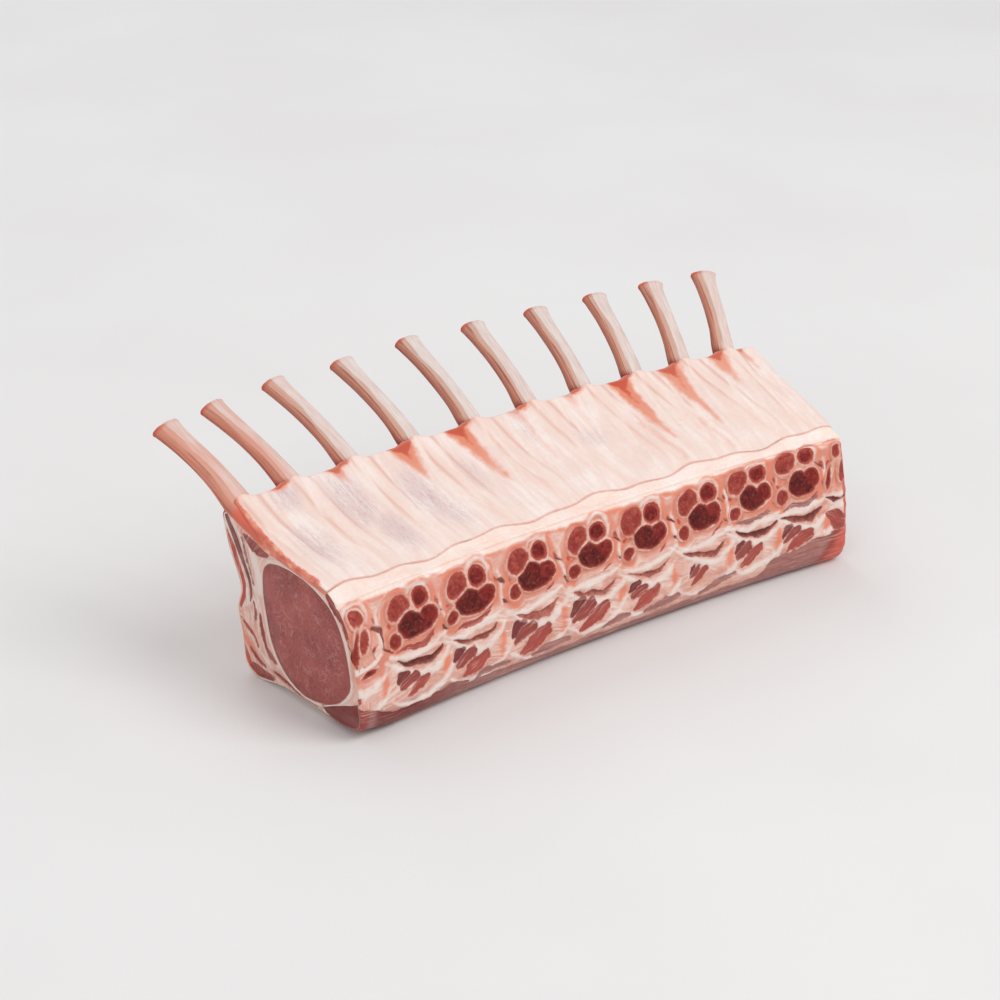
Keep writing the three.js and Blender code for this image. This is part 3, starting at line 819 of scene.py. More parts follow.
# Sawn tissue: fat with strands, stained places, pieces of lean meat and dark slits in it
TISSUE_MARKS = ("flow", "lean", "tone", "slit", "pale", "salmon")
sawn_tissue, brush, given, give = new_effect(
    "sawn_tissue",
    {"Fat": "#E7CBBC", "Streak": 0.5, **{name.title(): MARKS[name] for name in TISSUE_MARKS}},
    ["Color", "Height"],
)
where = brush.put("SeparateXYZ", {0: brush.spot()}).outputs
lanes = brush.put(
    "CombineXYZ", {0: given["Flow"], 1: brush.times(where[0], 70.0), 2: brush.times(where[2], 70.0)},
).outputs[0]
strand = brush.spread(brush.noise(lanes, 0.6, 4.0, Distortion=0.5), 0.36, 0.64)
thread = brush.spread(brush.noise(lanes, 1.1, 3.0, Distortion=0.3), 0.52, 0.7)
lean_mask = edge(brush, given["Lean"], 0.45, 0.7, 380.0)
tone = given["Tone"]
fat = brush.coats(
    given["Fat"],
    (brush.times(brush.times(strand, 0.5), given["Streak"]), "#CC7A63"),
    (brush.times(brush.times(thread, 0.5), given["Streak"]), "#F3E4DC"),
    (brush.spread(given["Flow"], 0.8, 4.4, 0.8, 0.0), "#DA7A5F"),
    (brush.times(edge(brush, given["Salmon"], 1.8, 1.0, 260.0), 0.82), "#E87F5E"),
    (brush.times(edge(brush, given["Pale"], 1.3, 0.8, 240.0), 0.88), "#EEDFD6"),
)
meat_red = brush.coats(
    "#7E3432",
    (brush.spread(tone, -0.5, 0.0), "#AE7C74"),
    (brush.spread(tone, 0.05, 0.45), "#A34B43"),
    (brush.spread(tone, 0.45, 0.95), "#DC6450"),
)
fibre = mottled(brush, (1, 1, 1, 1), (0.86, 0.8, 0.8, 1), 240.0, 900.0)
thread_weight = brush.spread(tone, -0.5, 0.1, 0.2, 0.45)
meat = brush.coats(
    brush.blend(1.0, meat_red, fibre, blend_type="MULTIPLY"),
    (brush.times(strand, 0.25), "#7C3A36"),
    (brush.times(thread, thread_weight), "#DDAA9C"),
)
shallow = mottled(brush, "#C37C6D", "#9C463C", 300.0, 800.0)
deep = mottled(brush, "#8C362D", "#5E221C", 300.0, 800.0, 0.6)
colour = brush.coats(
    fat,
    (lean_mask, meat),
    (brush.times(edge(brush, given["Slit"], 2.0, 0.6, 300.0), 0.5), "#BE6450"),
    (edge(brush, given["Slit"], 0.5, 0.5, 420.0), brush.blend(brush.spread(tone, 0.2, 0.9), shallow, deep)),
)
give(Color=colour, Height=strand)


def sawn_colour(brush, cream, pink):
    """Sawn tissue that goes from cream to pink by the mark for rosiness, and to dull mauve where the mark is
    highest, which along the foot of the sawn face is painted shade.
    """
    rosy_and_foot_shade = brush.mark("rosy_and_foot_shade")
    fat = brush.coats(
        cream, (brush.spread(rosy_and_foot_shade, 0.05, 0.6), pink), (brush.spread(rosy_and_foot_shade, 0.7, 1.2), "#B98A7E"),
    )
    marks = {name.title(): brush.mark(name) for name in TISSUE_MARKS}
    return brush.effect(sawn_tissue, Fat=fat, Streak=brush.spread(rosy_and_foot_shade, 0.08, 0.45, 0.1, 1.0), **marks)


def new_material(name, subsurface, coat):
    """A material of moist tissue; a brush for its node tree, and its shader's inputs."""
    material = bpy.data.materials.new(name)
    material.use_nodes = True
    brush = Brush(material.node_tree)
    brush.tree.nodes.clear()
    shader = brush.put("BsdfPrincipled", {
        "Subsurface Weight": subsurface, "Subsurface Radius": (1.0, 0.4, 0.25), "Subsurface Scale": 0.003,
        "Coat Weight": coat, "Coat Roughness": 0.3, "Specular IOR Level": 0.3,
    })
    brush.put("OutputMaterial", {"Surface": shader.outputs[0]})
    return material, brush, shader.inputs


def finish_surface(brush, shader, colour, height, rough, bump):
    """Gives the shader its colour, its roughness from driest to wettest, and a bump of tissue and
    moisture with a strength and a depth in millimetres."""
    film = brush.effect(moisture, Driest=rough[0], Wettest=rough[1])
    raised = brush.sum(height, brush.times(film["Height"], 0.5))
    normal = brush.put("Bump", {"Strength": bump[0], "Distance": bump[1] * MM, "Height": raised})
    brush.tree.links.new(colour, shader["Base Color"])
    brush.tree.links.new(film["Roughness"], shader["Roughness"])
    brush.tree.links.new(normal.outputs[0], shader["Normal"])


def moist_cream(brush):
    return mottled(brush, "#FEEDE4", "#FBDACA", 45.0, 500.0)


fat_material, brush, shader = new_material("moist_fat", subsurface=0.12, coat=0.05)
tissue = sawn_colour(brush, moist_cream(brush), mottled(brush, "#F2D2C5", "#E1AA97", 90.0, 600.0))
veined = brush.effect(red_vein, Under=tissue["Color"], Gap=brush.mark("vein"))["Color"]
finish_surface(brush, shader, veined, tissue["Height"], rough=(0.5, 0.34), bump=(0.35, 0.5))


def bar_stations(left_steps, middle_steps, right_steps):
    """Stations from end to end, close together where the ends are rounded."""
    return np.concatenate([
        LEFT_END + LEFT_ROUNDING * (1 - np.cos(np.linspace(0, np.pi / 2, left_steps)))[:-1],
        np.linspace(LEFT_END + LEFT_ROUNDING, RIGHT_END, middle_steps)[:-1],
        RIGHT_END + RIGHT_BULGE * np.sin(np.linspace(0, np.pi / 2, right_steps)),
    ])


def sawn_relief(station, depth, marks):
    """How far the sawn face stands out or in, in millimetres."""
    station, depth = np.broadcast_arrays(station, depth)
    relief = 0.4 * grain(station, depth, 11, 41) + 0.22 * grain(station, depth, 3.6, 42)
    relief += 0.3 * lumps(together(marks["flow"], station / 9, depth / 9), 1.4, 44)
    relief += 0.45 * ease(marks["pale"], -1.0, 1.4)
    relief -= 0.55 * ease(marks["lean"], -0.5, 1.0)
    relief -= 0.8 * ease(marks["slit"], -0.6, 1.2)
    return relief


def muscle_top(s, shares):
    """Points on the hidden top of the spine muscle, from the sawn face (0) to the underside (1)."""
    start = run_point("spine_face", s, MUSCLE_TOP_SHARE)
    end = run_point("underside", s, MUSCLE_REACH_SHARE)
    path = np.repeat(np.array(MUSCLE_TOP, float)[None], len(s), axis=0)
    joined = np.concatenate([start, path, end], axis=1)
    last = joined.shape[1] - 1
    low = np.minimum((shares * last).astype(int), last - 1)
    return mix(joined[:, low], joined[:, low + 1], (shares * last - low)[None, :, None])


def join_runs(runs):
    """One outline from runs of (points, marks, relief); a run without marks is plain."""
    marked = []
    for points, marks, relief in runs:
        marks = marks or blank_marks(points.shape[:2])
        marked.append({**marks, "relief": np.broadcast_to(relief, points.shape[:2])})
    together = {name: np.concatenate([marks[name] for marks in marked], axis=1) for name in marked[0]}
    return np.concatenate([points for points, _, _ in runs], axis=1), together


def steps(count):
    """Shares along a run, without its last point, where the next run starts."""
    return np.linspace(0, 1, count)[None, :-1]


# How many points each run of the fat block's outline has
BODY_STEPS = {
    "top": 17, "sawn": 120, "hidden": 7, "underside": 9, "back": 37, "rib_cut": 6, "wall": 9, "seam": 3,
}


def body_ring(s):
    """The fat block's outline at stations, with its marks, from the membrane's seam round to it again."""
    share = seam_share(s) * (1 - steps(BODY_STEPS["top"]))
    from_top = share * INNER_FACE_REACH
    marks = sawn_marks(s, -from_top)
    marks["vein"] = (seam_share(s) - share) * INNER_FACE_REACH
    marks["rosy_and_foot_shade"] = 0.06 + 0.06 * grain(s, from_top, 16, 31) * ease(from_top, 0, 4)
    relief = 0.35 * grain(s, from_top, 9, 33) * ease(from_top, 0, 3)
    runs = [(round_top(s, inner_point(s, share), from_top), marks, relief)]

    share = MUSCLE_TOP_SHARE * np.linspace(0, 1, BODY_STEPS["sawn"])[None]
    depth = share * SPINE_FACE_HEIGHT
    marks = sawn_marks(s, depth)
    relief = sawn_relief(s, depth, marks)
    for lobes, (middle, level) in zip(LOBE_SETS, VERTEBRAE):
        pocket = cluster(lobes, s - middle, level - depth, LOBE_RIM)
        relief = relief - POCKET_DEPTH * ease(pocket, 0.9, 2.4)
    face = raised_point("spine_face", s, share, relief * ease(depth, 0.0, 2.0))
    runs.append((round_top(s, face, depth), marks, 0.0))

    runs.append((muscle_top(s, np.linspace(0, 1, BODY_STEPS["hidden"])[1:-1]), None, 0.0))
    share = mix(MUSCLE_REACH_SHARE, 1, steps(BODY_STEPS["underside"]))
    runs.append((run_point("underside", s, share), None, 0.0))

    share = steps(BODY_STEPS["back"])
    height = share * BACK_HEIGHT
    marks = blank_marks((s + share).shape)
    marks["rosy_and_foot_shade"] = 0.32 + 0.22 * grain(s, height, 26, 34) + 0.3 * ease(share, 0.86, 1)
    edge_waver = 7 * grain(s / 1.6, height, 11, 35)
    marks["lean"] = np.clip((share - 0.97) * BACK_HEIGHT + edge_waver - 1, -FAR, 2)
    marks["salmon"] = 5 * grain(s / 5, height, 7, 36) - 4.6
    marks["pale"] = 4 * grain(s / 4, height, 6, 40) - 3.4
    marks["flow"] = 8 + 0.4 * height + 1.5 * grain(s, height, 30, 32)
    points = rounded(run_point("back", s, share), (1 - share) * BACK_HEIGHT, *BACK_ROUND)
    lumpy = 0.9 * grain(s, height, 24, 37) + 0.35 * grain(s, height, 8, 38)
    runs.append((points, marks, lumpy * ease(share, 0.05, 0.3)))

    share = WALL_CUT_SHARE * steps(BODY_STEPS["rib_cut"])
    marks = blank_marks((s + share).shape)
    marks["lean"] = 0.8 + 1.2 * grain(s / 3, share * RIB_CUT_REACH, 6, 39)
    marks["tone"] += 0.1
    points = rounded(run_point("rib_cut", s, share), share * RIB_CUT_REACH, *BACK_ROUND)
    runs.append((points, marks, 0.0))

    seam = seam_share(s)
    runs.append((wall_floor(s, mix(1.0, seam, steps(BODY_STEPS["wall"]))), None, 0.0))
    up_seam = steps(BODY_STEPS["seam"])[..., None]
    runs.append((mix(wall_floor(s, seam), inner_point(s, seam), up_seam), None, 0.0))
    return join_runs(runs)


def closed(points, marks, turned):
    """A grid round the bar, joined where it starts, with its marks."""
    def join(values):
        return np.concatenate([values, values[:, :1]], axis=1)

    return join(points), {name: join(values) for name, values in marks.items()}, turned


def pointing(angle):
    return together(np.cos(angle), np.sin(angle))


END_RINGS = 24
BORE_STEPS = 16
stations = bar_stations(7, 386, 13)
ENDS = [(0, LEFT_INSET), (-1, RIGHT_INSET)]
outline, marks = body_ring(stations[:, None])
patches = [closed(set_in_rack(stations[:, None], outline), marks, False)]
left_rim = mix(outline[0], HEART, LEFT_INSET)
bore_rims = []
for end, inset in ENDS:
    rim = mix(outline[end], HEART, inset)
    offset = rim - EYE_MIDDLE
    angle = np.arctan2(offset[:, 1], offset[:, 0])
    eye = EYE_MIDDLE + pointing(angle) * eye_reach(angle)[:, None]
    inner = np.linspace(0, 1, END_RINGS)[:, None]
    face = mix(rim[None], eye[None], inner[..., None])
    like_left = mix(left_rim[None], eye[None], inner[..., None])
    marks = end_marks(like_left[..., 0], like_left[..., 1], np.linalg.norm(face - eye[None], axis=-1))
    relief = 0.25 * grain(face[..., 0], face[..., 1], 7, 43) + 0.4 * ease(marks["pale"], -0.6, 1.0)
    relief = relief - 0.5 * ease(marks["lean"], -0.4, 0.8) - 1.2 * ease(marks["slit"], -0.4, 0.8)
    marks["relief"] = relief * ease(inner, 0.0, 0.15) * (1 - ease(inner, 0.93, 1.0))
    patches.append(closed(raked(stations[end], face), marks, end == 0))
    bore_rims.append(eye)
along = np.linspace(stations[0], stations[-1], BORE_STEPS)[:, None]
bore = mix(bore_rims[0][None], bore_rims[1][None], np.linspace(0, 1, BORE_STEPS)[:, None, None])
patches.append(closed(raked(along, bore), {name: np.zeros(bore.shape[:2]) for name in marks}, True))
make_piece("fat_block", patches, fat_material, ["rack_body"])


# Loin eye. The long back muscle that runs the length of the rack, cut across at both ends: fine
# grained lean meat, mauve pink, with thin threads of fat, standing a little proud of the seam fat.
EYE_GAP = 0.12
EYE_BULGE = 0.9
EYE_SIDES = 160
EYE_RINGS = 34
EYE_STEPS = 30

loin_material, brush, shader = new_material("loin_meat", subsurface=0.1, coat=0.05)
spot = brush.spot()
threads = brush.spread(brush.off(brush.noise(spot, 170.0, 2.5, Distortion=0.6), 0.5), 0.0, 0.05, 1.0, 0.0)
thread_mask = brush.times(threads, brush.spread(brush.noise(spot, 130.0, 2.0), 0.4, 0.62))
fine_cells = brush.put("TexVoronoi", {"Vector": spot, "Scale": 560.0}, feature="DISTANCE_TO_EDGE").outputs[0]
fine_threads = brush.spread(fine_cells, 0.0, 0.18, 0.26, 0.0)
rim = brush.mark("rim")
colour = brush.coats(
    mottled(brush, "#AE5650", "#8D3F3C", 60.0, 520.0),
    (brush.times(thread_mask, 0.45), "#CA9087"),
    (fine_threads, "#BE7B73"),
    (brush.spread(rim, 0.0, 8.0, 0.35, 0.0), "#84403D"),
    (brush.spread(rim, 0.0, 0.7, 0.5, 0.0), "#D9ABA1"),
)
finish_surface(brush, shader, colour, fine_threads, rough=(0.52, 0.36), bump=(0.3, 0.35))


def round_angles(count):
    """Angles once round, the last the same as the first."""
    angle = np.linspace(0, 2 * np.pi, count + 1)
    angle[-1] = 0.0
    return angle


angle = round_angles(EYE_SIDES)
way = pointing(angle)
reach = eye_reach(angle) - EYE_GAP
radius = np.sin(np.linspace(0, np.pi / 2, EYE_RINGS))[:, None]
patches = []
END_STATIONS = (LEFT_END, RIGHT_END + RIGHT_BULGE)
for station, side in zip(END_STATIONS, (-1, 1)):
    point = EYE_MIDDLE + way[None] * (reach[None] * radius)[..., None]
    swell = EYE_BULGE * (1 - radius**6) + 0.35 * grain(point[..., 0], point[..., 1], 16, 51)
    spots = raked(station, point, side * swell * (1 - radius**12))
    marks = {"rim": reach[None] * (1 - radius), "relief": np.zeros(spots.shape[:2])}
    patches.append((spots, marks, side > 0))
length = raked(np.linspace(*END_STATIONS, EYE_STEPS)[:, None], EYE_MIDDLE + way * reach[:, None])
flat = np.zeros(length.shape[:2])
patches.append((length, {"rim": flat, "relief": flat}, False))
make_piece("loin_eye_meat", patches, loin_material, ["loin_eye"])


# Cap muscle. A thin dark muscle between two layers of back fat, following the back from end to end,
# so it shows as a brown strip at each cut end.
# The strip's depth under the back and its thickness, low and high on it, and its span of the back
CAP_DEPTHS = (9.2, 4.8)
CAP_THICK = (1.6, 5.0)
CAP_SPAN = (0.62, 0.985)
CAP_PROUD = 0.35
CAP_STEPS = 40
CAP_LAYERS = 7

dark_meat_material, brush, shader = new_material("dark_meat", subsurface=0.1, coat=0.05)
strip = mottled(brush, "#A96E68", "#75423E", 130.0, 700.0)
finish_surface(brush, shader, strip, 0.0, rough=(0.5, 0.36), bump=(0.3, 0.3))

share = np.linspace(*CAP_SPAN, CAP_STEPS)
along = np.linspace(LEFT_END - CAP_PROUD, RIGHT_END + RIGHT_BULGE + CAP_PROUD, CAP_STEPS)[:, None]
fullness = np.sin(np.pi * np.linspace(0.06, 0.94, CAP_STEPS)) ** 0.5
waver = 1 + 0.25 * grain(share * BACK_HEIGHT, 0 * share, 7, 61)
half = 0.5 * mix(*CAP_THICK, ease(share, 0.66, 0.92)) * fullness * waver
levels = np.linspace(-1, 1, CAP_LAYERS)
depth = mix(*CAP_DEPTHS, ease(share, 0.8, 1.02))[:, None] + levels * half[:, None]
into = inward("back", along, share)[:, :, None]
layers = run_point("back", along, share)[:, :, None] + into * depth[..., None]
inset = np.where(along > RIGHT_END, RIGHT_INSET, 0.0)[..., None, None]
solid = raked(along[..., None], mix(layers, HEART, inset))


def box_patches(solid, extra):
    """The six outer grids of a block of points [along, across, deep], with their marks."""
    sides = [
        (np.s_[:, :, 0], False), (np.s_[:, :, -1], True),
        (np.s_[:, 0, :], True), (np.s_[:, -1, :], False),
        (np.s_[0, :, :], False), (np.s_[-1, :, :], True),
    ]
    patches = []
    for cut, turned in sides:
        patches.append((solid[cut], {name: values[cut] for name, values in extra.items()}, turned))
    return patches


patches = box_patches(solid, {"relief": np.zeros(solid.shape[:3])})
make_piece("cap_muscle_strip", patches, dark_meat_material, ["cap_muscle"])


# Spine muscle. The strip of lean meat along the foot of the sawn spine, under the vertebrae: streaky
# with fat along the front, and thick and smooth at the right end.
MUSCLE_CORE = np.array([4.0, 7.0])
MUSCLE_RINGS = 9
MUSCLE_STEPS = {"face": 19, "corner": 13, "under": 7, "hidden": 9}

muscle_material, brush, shader = new_material("streaky_spine_meat", subsurface=0.1, coat=0.05)
tissue = sawn_colour(brush, moist_cream(brush), mottled(brush, "#EFCBBD", "#DBA08C", 90.0, 600.0))
finish_surface(brush, shader, tissue["Color"], tissue["Height"], rough=(0.5, 0.36), bump=(0.3, 0.4))


def muscle_ring(s):
    """The spine muscle's outline at stations, from the sawn face round its foot and back inside."""
    runs = []
    face_share = mix(MUSCLE_TOP_SHARE, 1, steps(MUSCLE_STEPS["face"]))
    corner_share = steps(MUSCLE_STEPS["corner"])
    under_share = MUSCLE_REACH_SHARE * steps(MUSCLE_STEPS["under"])
    for name, share, depth in (
        ("spine_face", face_share, face_share * SPINE_FACE_HEIGHT),
        ("front_corner", corner_share, SPINE_FACE_HEIGHT + CORNER_REACH * corner_share),
        ("underside", under_share, CORNER_END_DEPTH + CORNER_REACH * under_share),
    ):
        marks = sawn_marks(s, depth)
        fade = 1 - ease(depth, SPINE_FACE_HEIGHT, 82)
        runs.append((raised_point(name, s, share, fade * sawn_relief(s, depth, marks)), marks, 0.0))
    runs.append((muscle_top(s, 1 - steps(MUSCLE_STEPS["hidden"])[0]), None, 0.0))
    return join_runs(runs)


outline, marks = muscle_ring(stations[:, None])
patches = [closed(set_in_rack(stations[:, None], outline), marks, False)]
for end, inset in ENDS:
    inner = np.linspace(0, 1, MUSCLE_RINGS)[:, None]
    face = mix(mix(outline[end], HEART, inset)[None], MUSCLE_CORE, inner[..., None])
    marks = blank_marks(face.shape[:2])
    marks["lean"] = 0.6 + 2.5 * inner + 0.5 * grain(face[..., 0], face[..., 1], 5, 71)
    marks["tone"] = -0.45 + 0.15 * grain(face[..., 0], face[..., 1], 6, 72)
    marks["relief"] = 0.4 * ease(inner, 0.1, 0.8) * np.ones(face.shape[:2])
    patches.append(closed(raked(stations[end], face), marks, end == 0))
make_piece("spine_muscle_band", patches, muscle_material, ["spine_muscle"])


# Rib wall. The sheet of rib meat between the ribs, covered inside by a pale, moist membrane that is
# drawn over the ribs; its far edge was cut straight where the bones were scraped bare.
WALL_LAYERS = 7
WALL_ROWS = 104
WALL_ROUND = (2.2, 0.7)
# The red notch left of each rib's foot: offset along, distance from the edge, half sizes and tilt
NOTCH = (-8.0, 0.3, 5.0, 4.2, 0)
NOTCH_GROWN = 1.2
# Thin places where lilac shows through the membrane: (station, share, half width, half length, strength)
GREY_PATCHES = [
    (-143, 0.9, 9, 10, 0.6), (-150, 0.53, 11, 18, 0.55), (-113, 0.74, 11, 26, 0.65),
    (-106, 0.42, 9, 20, 0.55), (-76, 0.6, 10, 24, 0.6), (-70, 0.42, 7, 16, 0.5),
    (-42, 0.62, 8, 16, 0.3), (4, 0.84, 5, 12, 0.35), (36, 0.6, 12, 8, 0.3),
]
# Meat that shows through the membrane beside a rib: (station at the edge, station and share at its
# far end, half width, red), and thin lines: (station, share, station, share, half width, red)
EDGE_WEDGES = [
    (-109, -106, 0.86, 7.5, 0.9), (-68, -66, 0.7, 8.5, 1.0), (-32, -26, 0.5, 7.5, 1.0),
    (6, 8, 0.82, 5.0, 0.4), (42, 44, 0.86, 5.0, 0.4), (75, 80, 0.42, 8.5, 1.0),
    (109, 113, 0.42, 7.5, 0.9), (141, 143, 0.7, 6.5, 0.9), (163, 168, 0.76, 4.5, 0.7),
]
WEDGE_TIP = 0.4
MEMBRANE_LINES = [
    (8, 0.83, 8, 0.55, 0.9, 0.4), (68, 0.59, 75, 0.22, 1.1, 0.5), (103, 0.49, 108, 0.2, 1.1, 0.45),
]

membrane_material, brush, shader = new_material("rib_membrane", subsurface=0.12, coat=0.08)
flow = brush.put("CombineXYZ", {0: brush.mark("beside"), 1: brush.mark("down")}).outputs[0]
streak_noise = brush.noise(flow, 1.0, 4.0, Distortion=0.8)
streak = brush.spread(streak_noise, 0.36, 0.64)
grey = brush.mark("grey")
folds = brush.off(brush.noise(flow, 2.6, 3.0, Distortion=1.6), 0.5)
wedge = brush.mark("wedge")
red = brush.mark("red")
from_edge = brush.mark("edge")
deep_wedge = brush.less(wedge, brush.spread(from_edge, 2.0, 12.0, 0.6, 5.0))
core = brush.times(edge(brush, deep_wedge, 1.4, 1.4, 320.0), red)
rim_line = edge(brush, brush.less(1.0, from_edge), 0.7, 0.6, 260.0)
membrane = brush.coats(
    mottled(brush, "#F9ECE5", "#F3DCD1", 40.0, 420.0),
    (brush.times(brush.mark("ridge"), 0.45), "#F6DACC"),
    (brush.times(streak, 0.45), "#EDC9BB"),
    (brush.times(brush.mark("line"), brush.spread(streak_noise, 0.3, 0.6)), "#DFA793"),
    (brush.times(grey, brush.spread(streak_noise, 0.32, 0.6, 0.25, 0.85)), "#CDB6BA"),
    (brush.times(brush.spread(folds, 0.0, 0.04, 0.7, 0.0), brush.sum(grey, 0.1)), "#B9979A"),
    (brush.times(edge(brush, wedge, 2.2, 1.4, 200.0), red), "#E4805A"),
    (brush.times(core, 0.9), "#C24A31"),
    (brush.spread(from_edge, 0.0, 5.0, 0.4, 0.0), "#F0BFAB"),
    (brush.times(rim_line, brush.mark("lip")), "#BC4C3E"),
)
veined = brush.effect(red_vein, Under=membrane, Gap=brush.mark("vein"))["Color"]
cut_layers = brush.blend(
    edge(brush, brush.mark("cut_pale"), 0.5, 0.8, 300.0),
    mottled(brush, "#F0967B", "#D4644E", 120.0, 700.0), "#F2B59C",
)
colour = brush.blend(edge(brush, brush.mark("cut"), 0.4, 0.4, 300.0), veined, cut_layers)
finish_surface(brush, shader, colour, streak, rough=(0.5, 0.32), bump=(0.3, 0.4))

wall_stations = bar_stations(6, 300, 10)
s = wall_stations[:, None]
share = mix(seam_share(s), 1.0, np.linspace(0, 1, WALL_ROWS)[None] ** 0.93)
levels = np.linspace(0, 1, WALL_LAYERS)
from_edge = (1 - share) * INNER_FACE_REACH
from_seam = (share - seam_share(s)) * INNER_FACE_REACH
top = rounded(inner_point(s, share), from_edge, *WALL_ROUND)
solid = mix(top[:, :, None], wall_floor(s, share)[:, :, None], levels[:, None])
wide = s + 0 * share
gap = rib_gap(wide, share)
line = 0.7 * ease(share, 0.15, 0.75) * np.maximum(hump(gap, -1, 1.1), hump(gap, 10, 1.2))
lip = 0.35 - 0.35 * hump(gap, 3, 6) + 0.6 * hump(gap, 14, 5) + 0.6 * hump(gap, -8, 4)
grey = np.zeros(share.shape)
for middle, at_share, half_along, half_down, strength in GREY_PATCHES:
    reach = np.hypot((wide - middle) / half_along, (share - at_share) * INNER_FACE_REACH / half_down)
    grey = np.maximum(grey, strength * (1 - ease(reach, 0.2, 1.3)))
wedge = np.full(share.shape, -FAR)
red = np.zeros(share.shape)
wander = 1.5 * grain(wide, from_edge, 12, 81) + 0.6 * grain(wide, from_edge, 4, 82)
wedge_strokes = [(a, 1.0, b, end, half, WEDGE_TIP, strong) for a, b, end, half, strong in EDGE_WEDGES]
wedge_strokes += [(a, start, b, end, half, half, strong) for a, start, b, end, half, strong in MEMBRANE_LINES]
for at, start, to, end, half_at, half_to, strong in wedge_strokes:
    downs = [(1 - start) * INNER_FACE_REACH, (1 - end) * INNER_FACE_REACH]
    distance = stroke(wide + wander, from_edge, [(at, downs[0], half_at), (to, downs[1], half_to)])
    fading = strong * (1 - 0.35 * np.clip(from_edge / downs[1], 0, 1))
    red = np.where(distance > wedge, fading, red)
    wedge = np.maximum(wedge, distance)
for exit_station in RIB_STATIONS:
    notch = oval(wide, from_edge, (exit_station + NOTCH[0], *NOTCH[1:])) + NOTCH_GROWN
    red = np.where(notch > wedge, 1.0, red)
    wedge = np.maximum(wedge, notch)
rise = rib_rise(s, share)
relief = 0.45 * grain(wide, from_edge, 17, 83) + 0.2 * grain(wide, from_edge / 2.6, 4.5, 84)
relief += 0.5 * rise * ease(share, 0.15, 0.6) * (1 - ease(share, 0.85, 1.0))
relief -= 0.5 * ease(wedge, -1.0, 1.5) + 0.15 * np.exp(-from_seam / 0.8)
relief = relief * ease(from_edge, 0.0, 3.0)


def through(values, other=0.0):
    """Marks of the membrane on a block's top layer, and another value on the layers under it."""
    block = np.full((*values.shape, WALL_LAYERS), float(other))
    block[..., 0] = values
    return block


deep = np.broadcast_to(levels, solid.shape[:3]) * WALL_THICK
left_rim = ease(-wide, 167.0, 169.4) * ease(share, 0.2, 0.28)
cut_spots = together(wide[..., None] / 2.2, from_edge[..., None] / 2.2, deep)
extra = {
    "ridge": through(rise), "grey": through(grey), "wedge": through(wedge, -FAR), "red": through(red),
    "edge": through(from_edge, FAR), "vein": through(from_seam, FAR),
    "beside": through(wide / 5), "down": through(from_edge / 36), "line": through(line), "lip": through(lip),
    "cut": deep - 0.5 + left_rim[..., None], "cut_pale": 1.4 * lumps(cut_spots, 2.6, 85) - 0.7,
    "relief": through(relief),
}
blocks = set_in_rack(wall_stations[:, None, None], solid)
make_piece("rib_wall_meat", box_patches(blocks, extra), membrane_material, ["rib_wall"])


# Ribs. Ten rib bones, sawn off at the tip and scraped bare beyond the meat: flattened oval bars that
# bend up and fan out, pale above, with stains and scraps of red along their lower left side; that side
# is also darkened with painted shade, as is each bone's foot where it leaves the meat.
RIB_FAN = 13.5
FIRST_RIB_FAN = 9.6
# Where a tip is across and up: in the middle, and its change along the rack and with the square of it
RIB_TIP = np.array([(148.5, 131.2), (-12.0, 6.0), (-14.5, 2.8)])
FIRST_RIB_WIDER = 2.2
RIB_BEND = np.array([0.46, 0.69])
# Width and thickness where the bone is hidden, where it leaves the meat, at its end and in the flare
RIB_HIDDEN = (11.0, 6.0)
RIB_BARE = (15.0, 8.6)
RIB_END = (14.4, 8.2)
RIB_FLARE = (2.6, 0.4)
RIB_WAIST = 1.6
# How much longer each rib is than usual, and how warm its colour is, from left to right
RIB_EXTRA = [0.5, 2.5, 4.0, 2.0, 3.5, 1.0, 0.0, 0.0, 0.0, 0.0]
RIB_WARMTH = [0.5, 0.4, 0.16, 0.08, 0.06, 0.08, 0.08, 0.1, 0.14, 0.16]
# How deep a rib lies under the inner face, at its root and where it leaves the meat
RIB_DEPTHS = (7.0, 3.7)
RIB_ROOT_SHARE = 0.16
RIB_HIDDEN_STEPS = 14
RIB_BARE_STEPS = 84
RIB_SIDES = 72
RIB_SQUARENESS = 0.88
# Angle round a bone's section of its lower left side, which holds the stains and the groove and is painted
# darker as shade
STAINED_AND_SHADED_SIDE = np.radians(205)
# How a rib's end rounds off, ring by ring: its size, how far it stands out, how much relief is left
END_CAP = np.array([
    (1, 0, 1), (0.97, 0.5, 0.6), (0.86, 0.8, 0.2), (0.6, 0.6, 0), (0.3, 0.5, 0), (0, 0.5, 0),
])

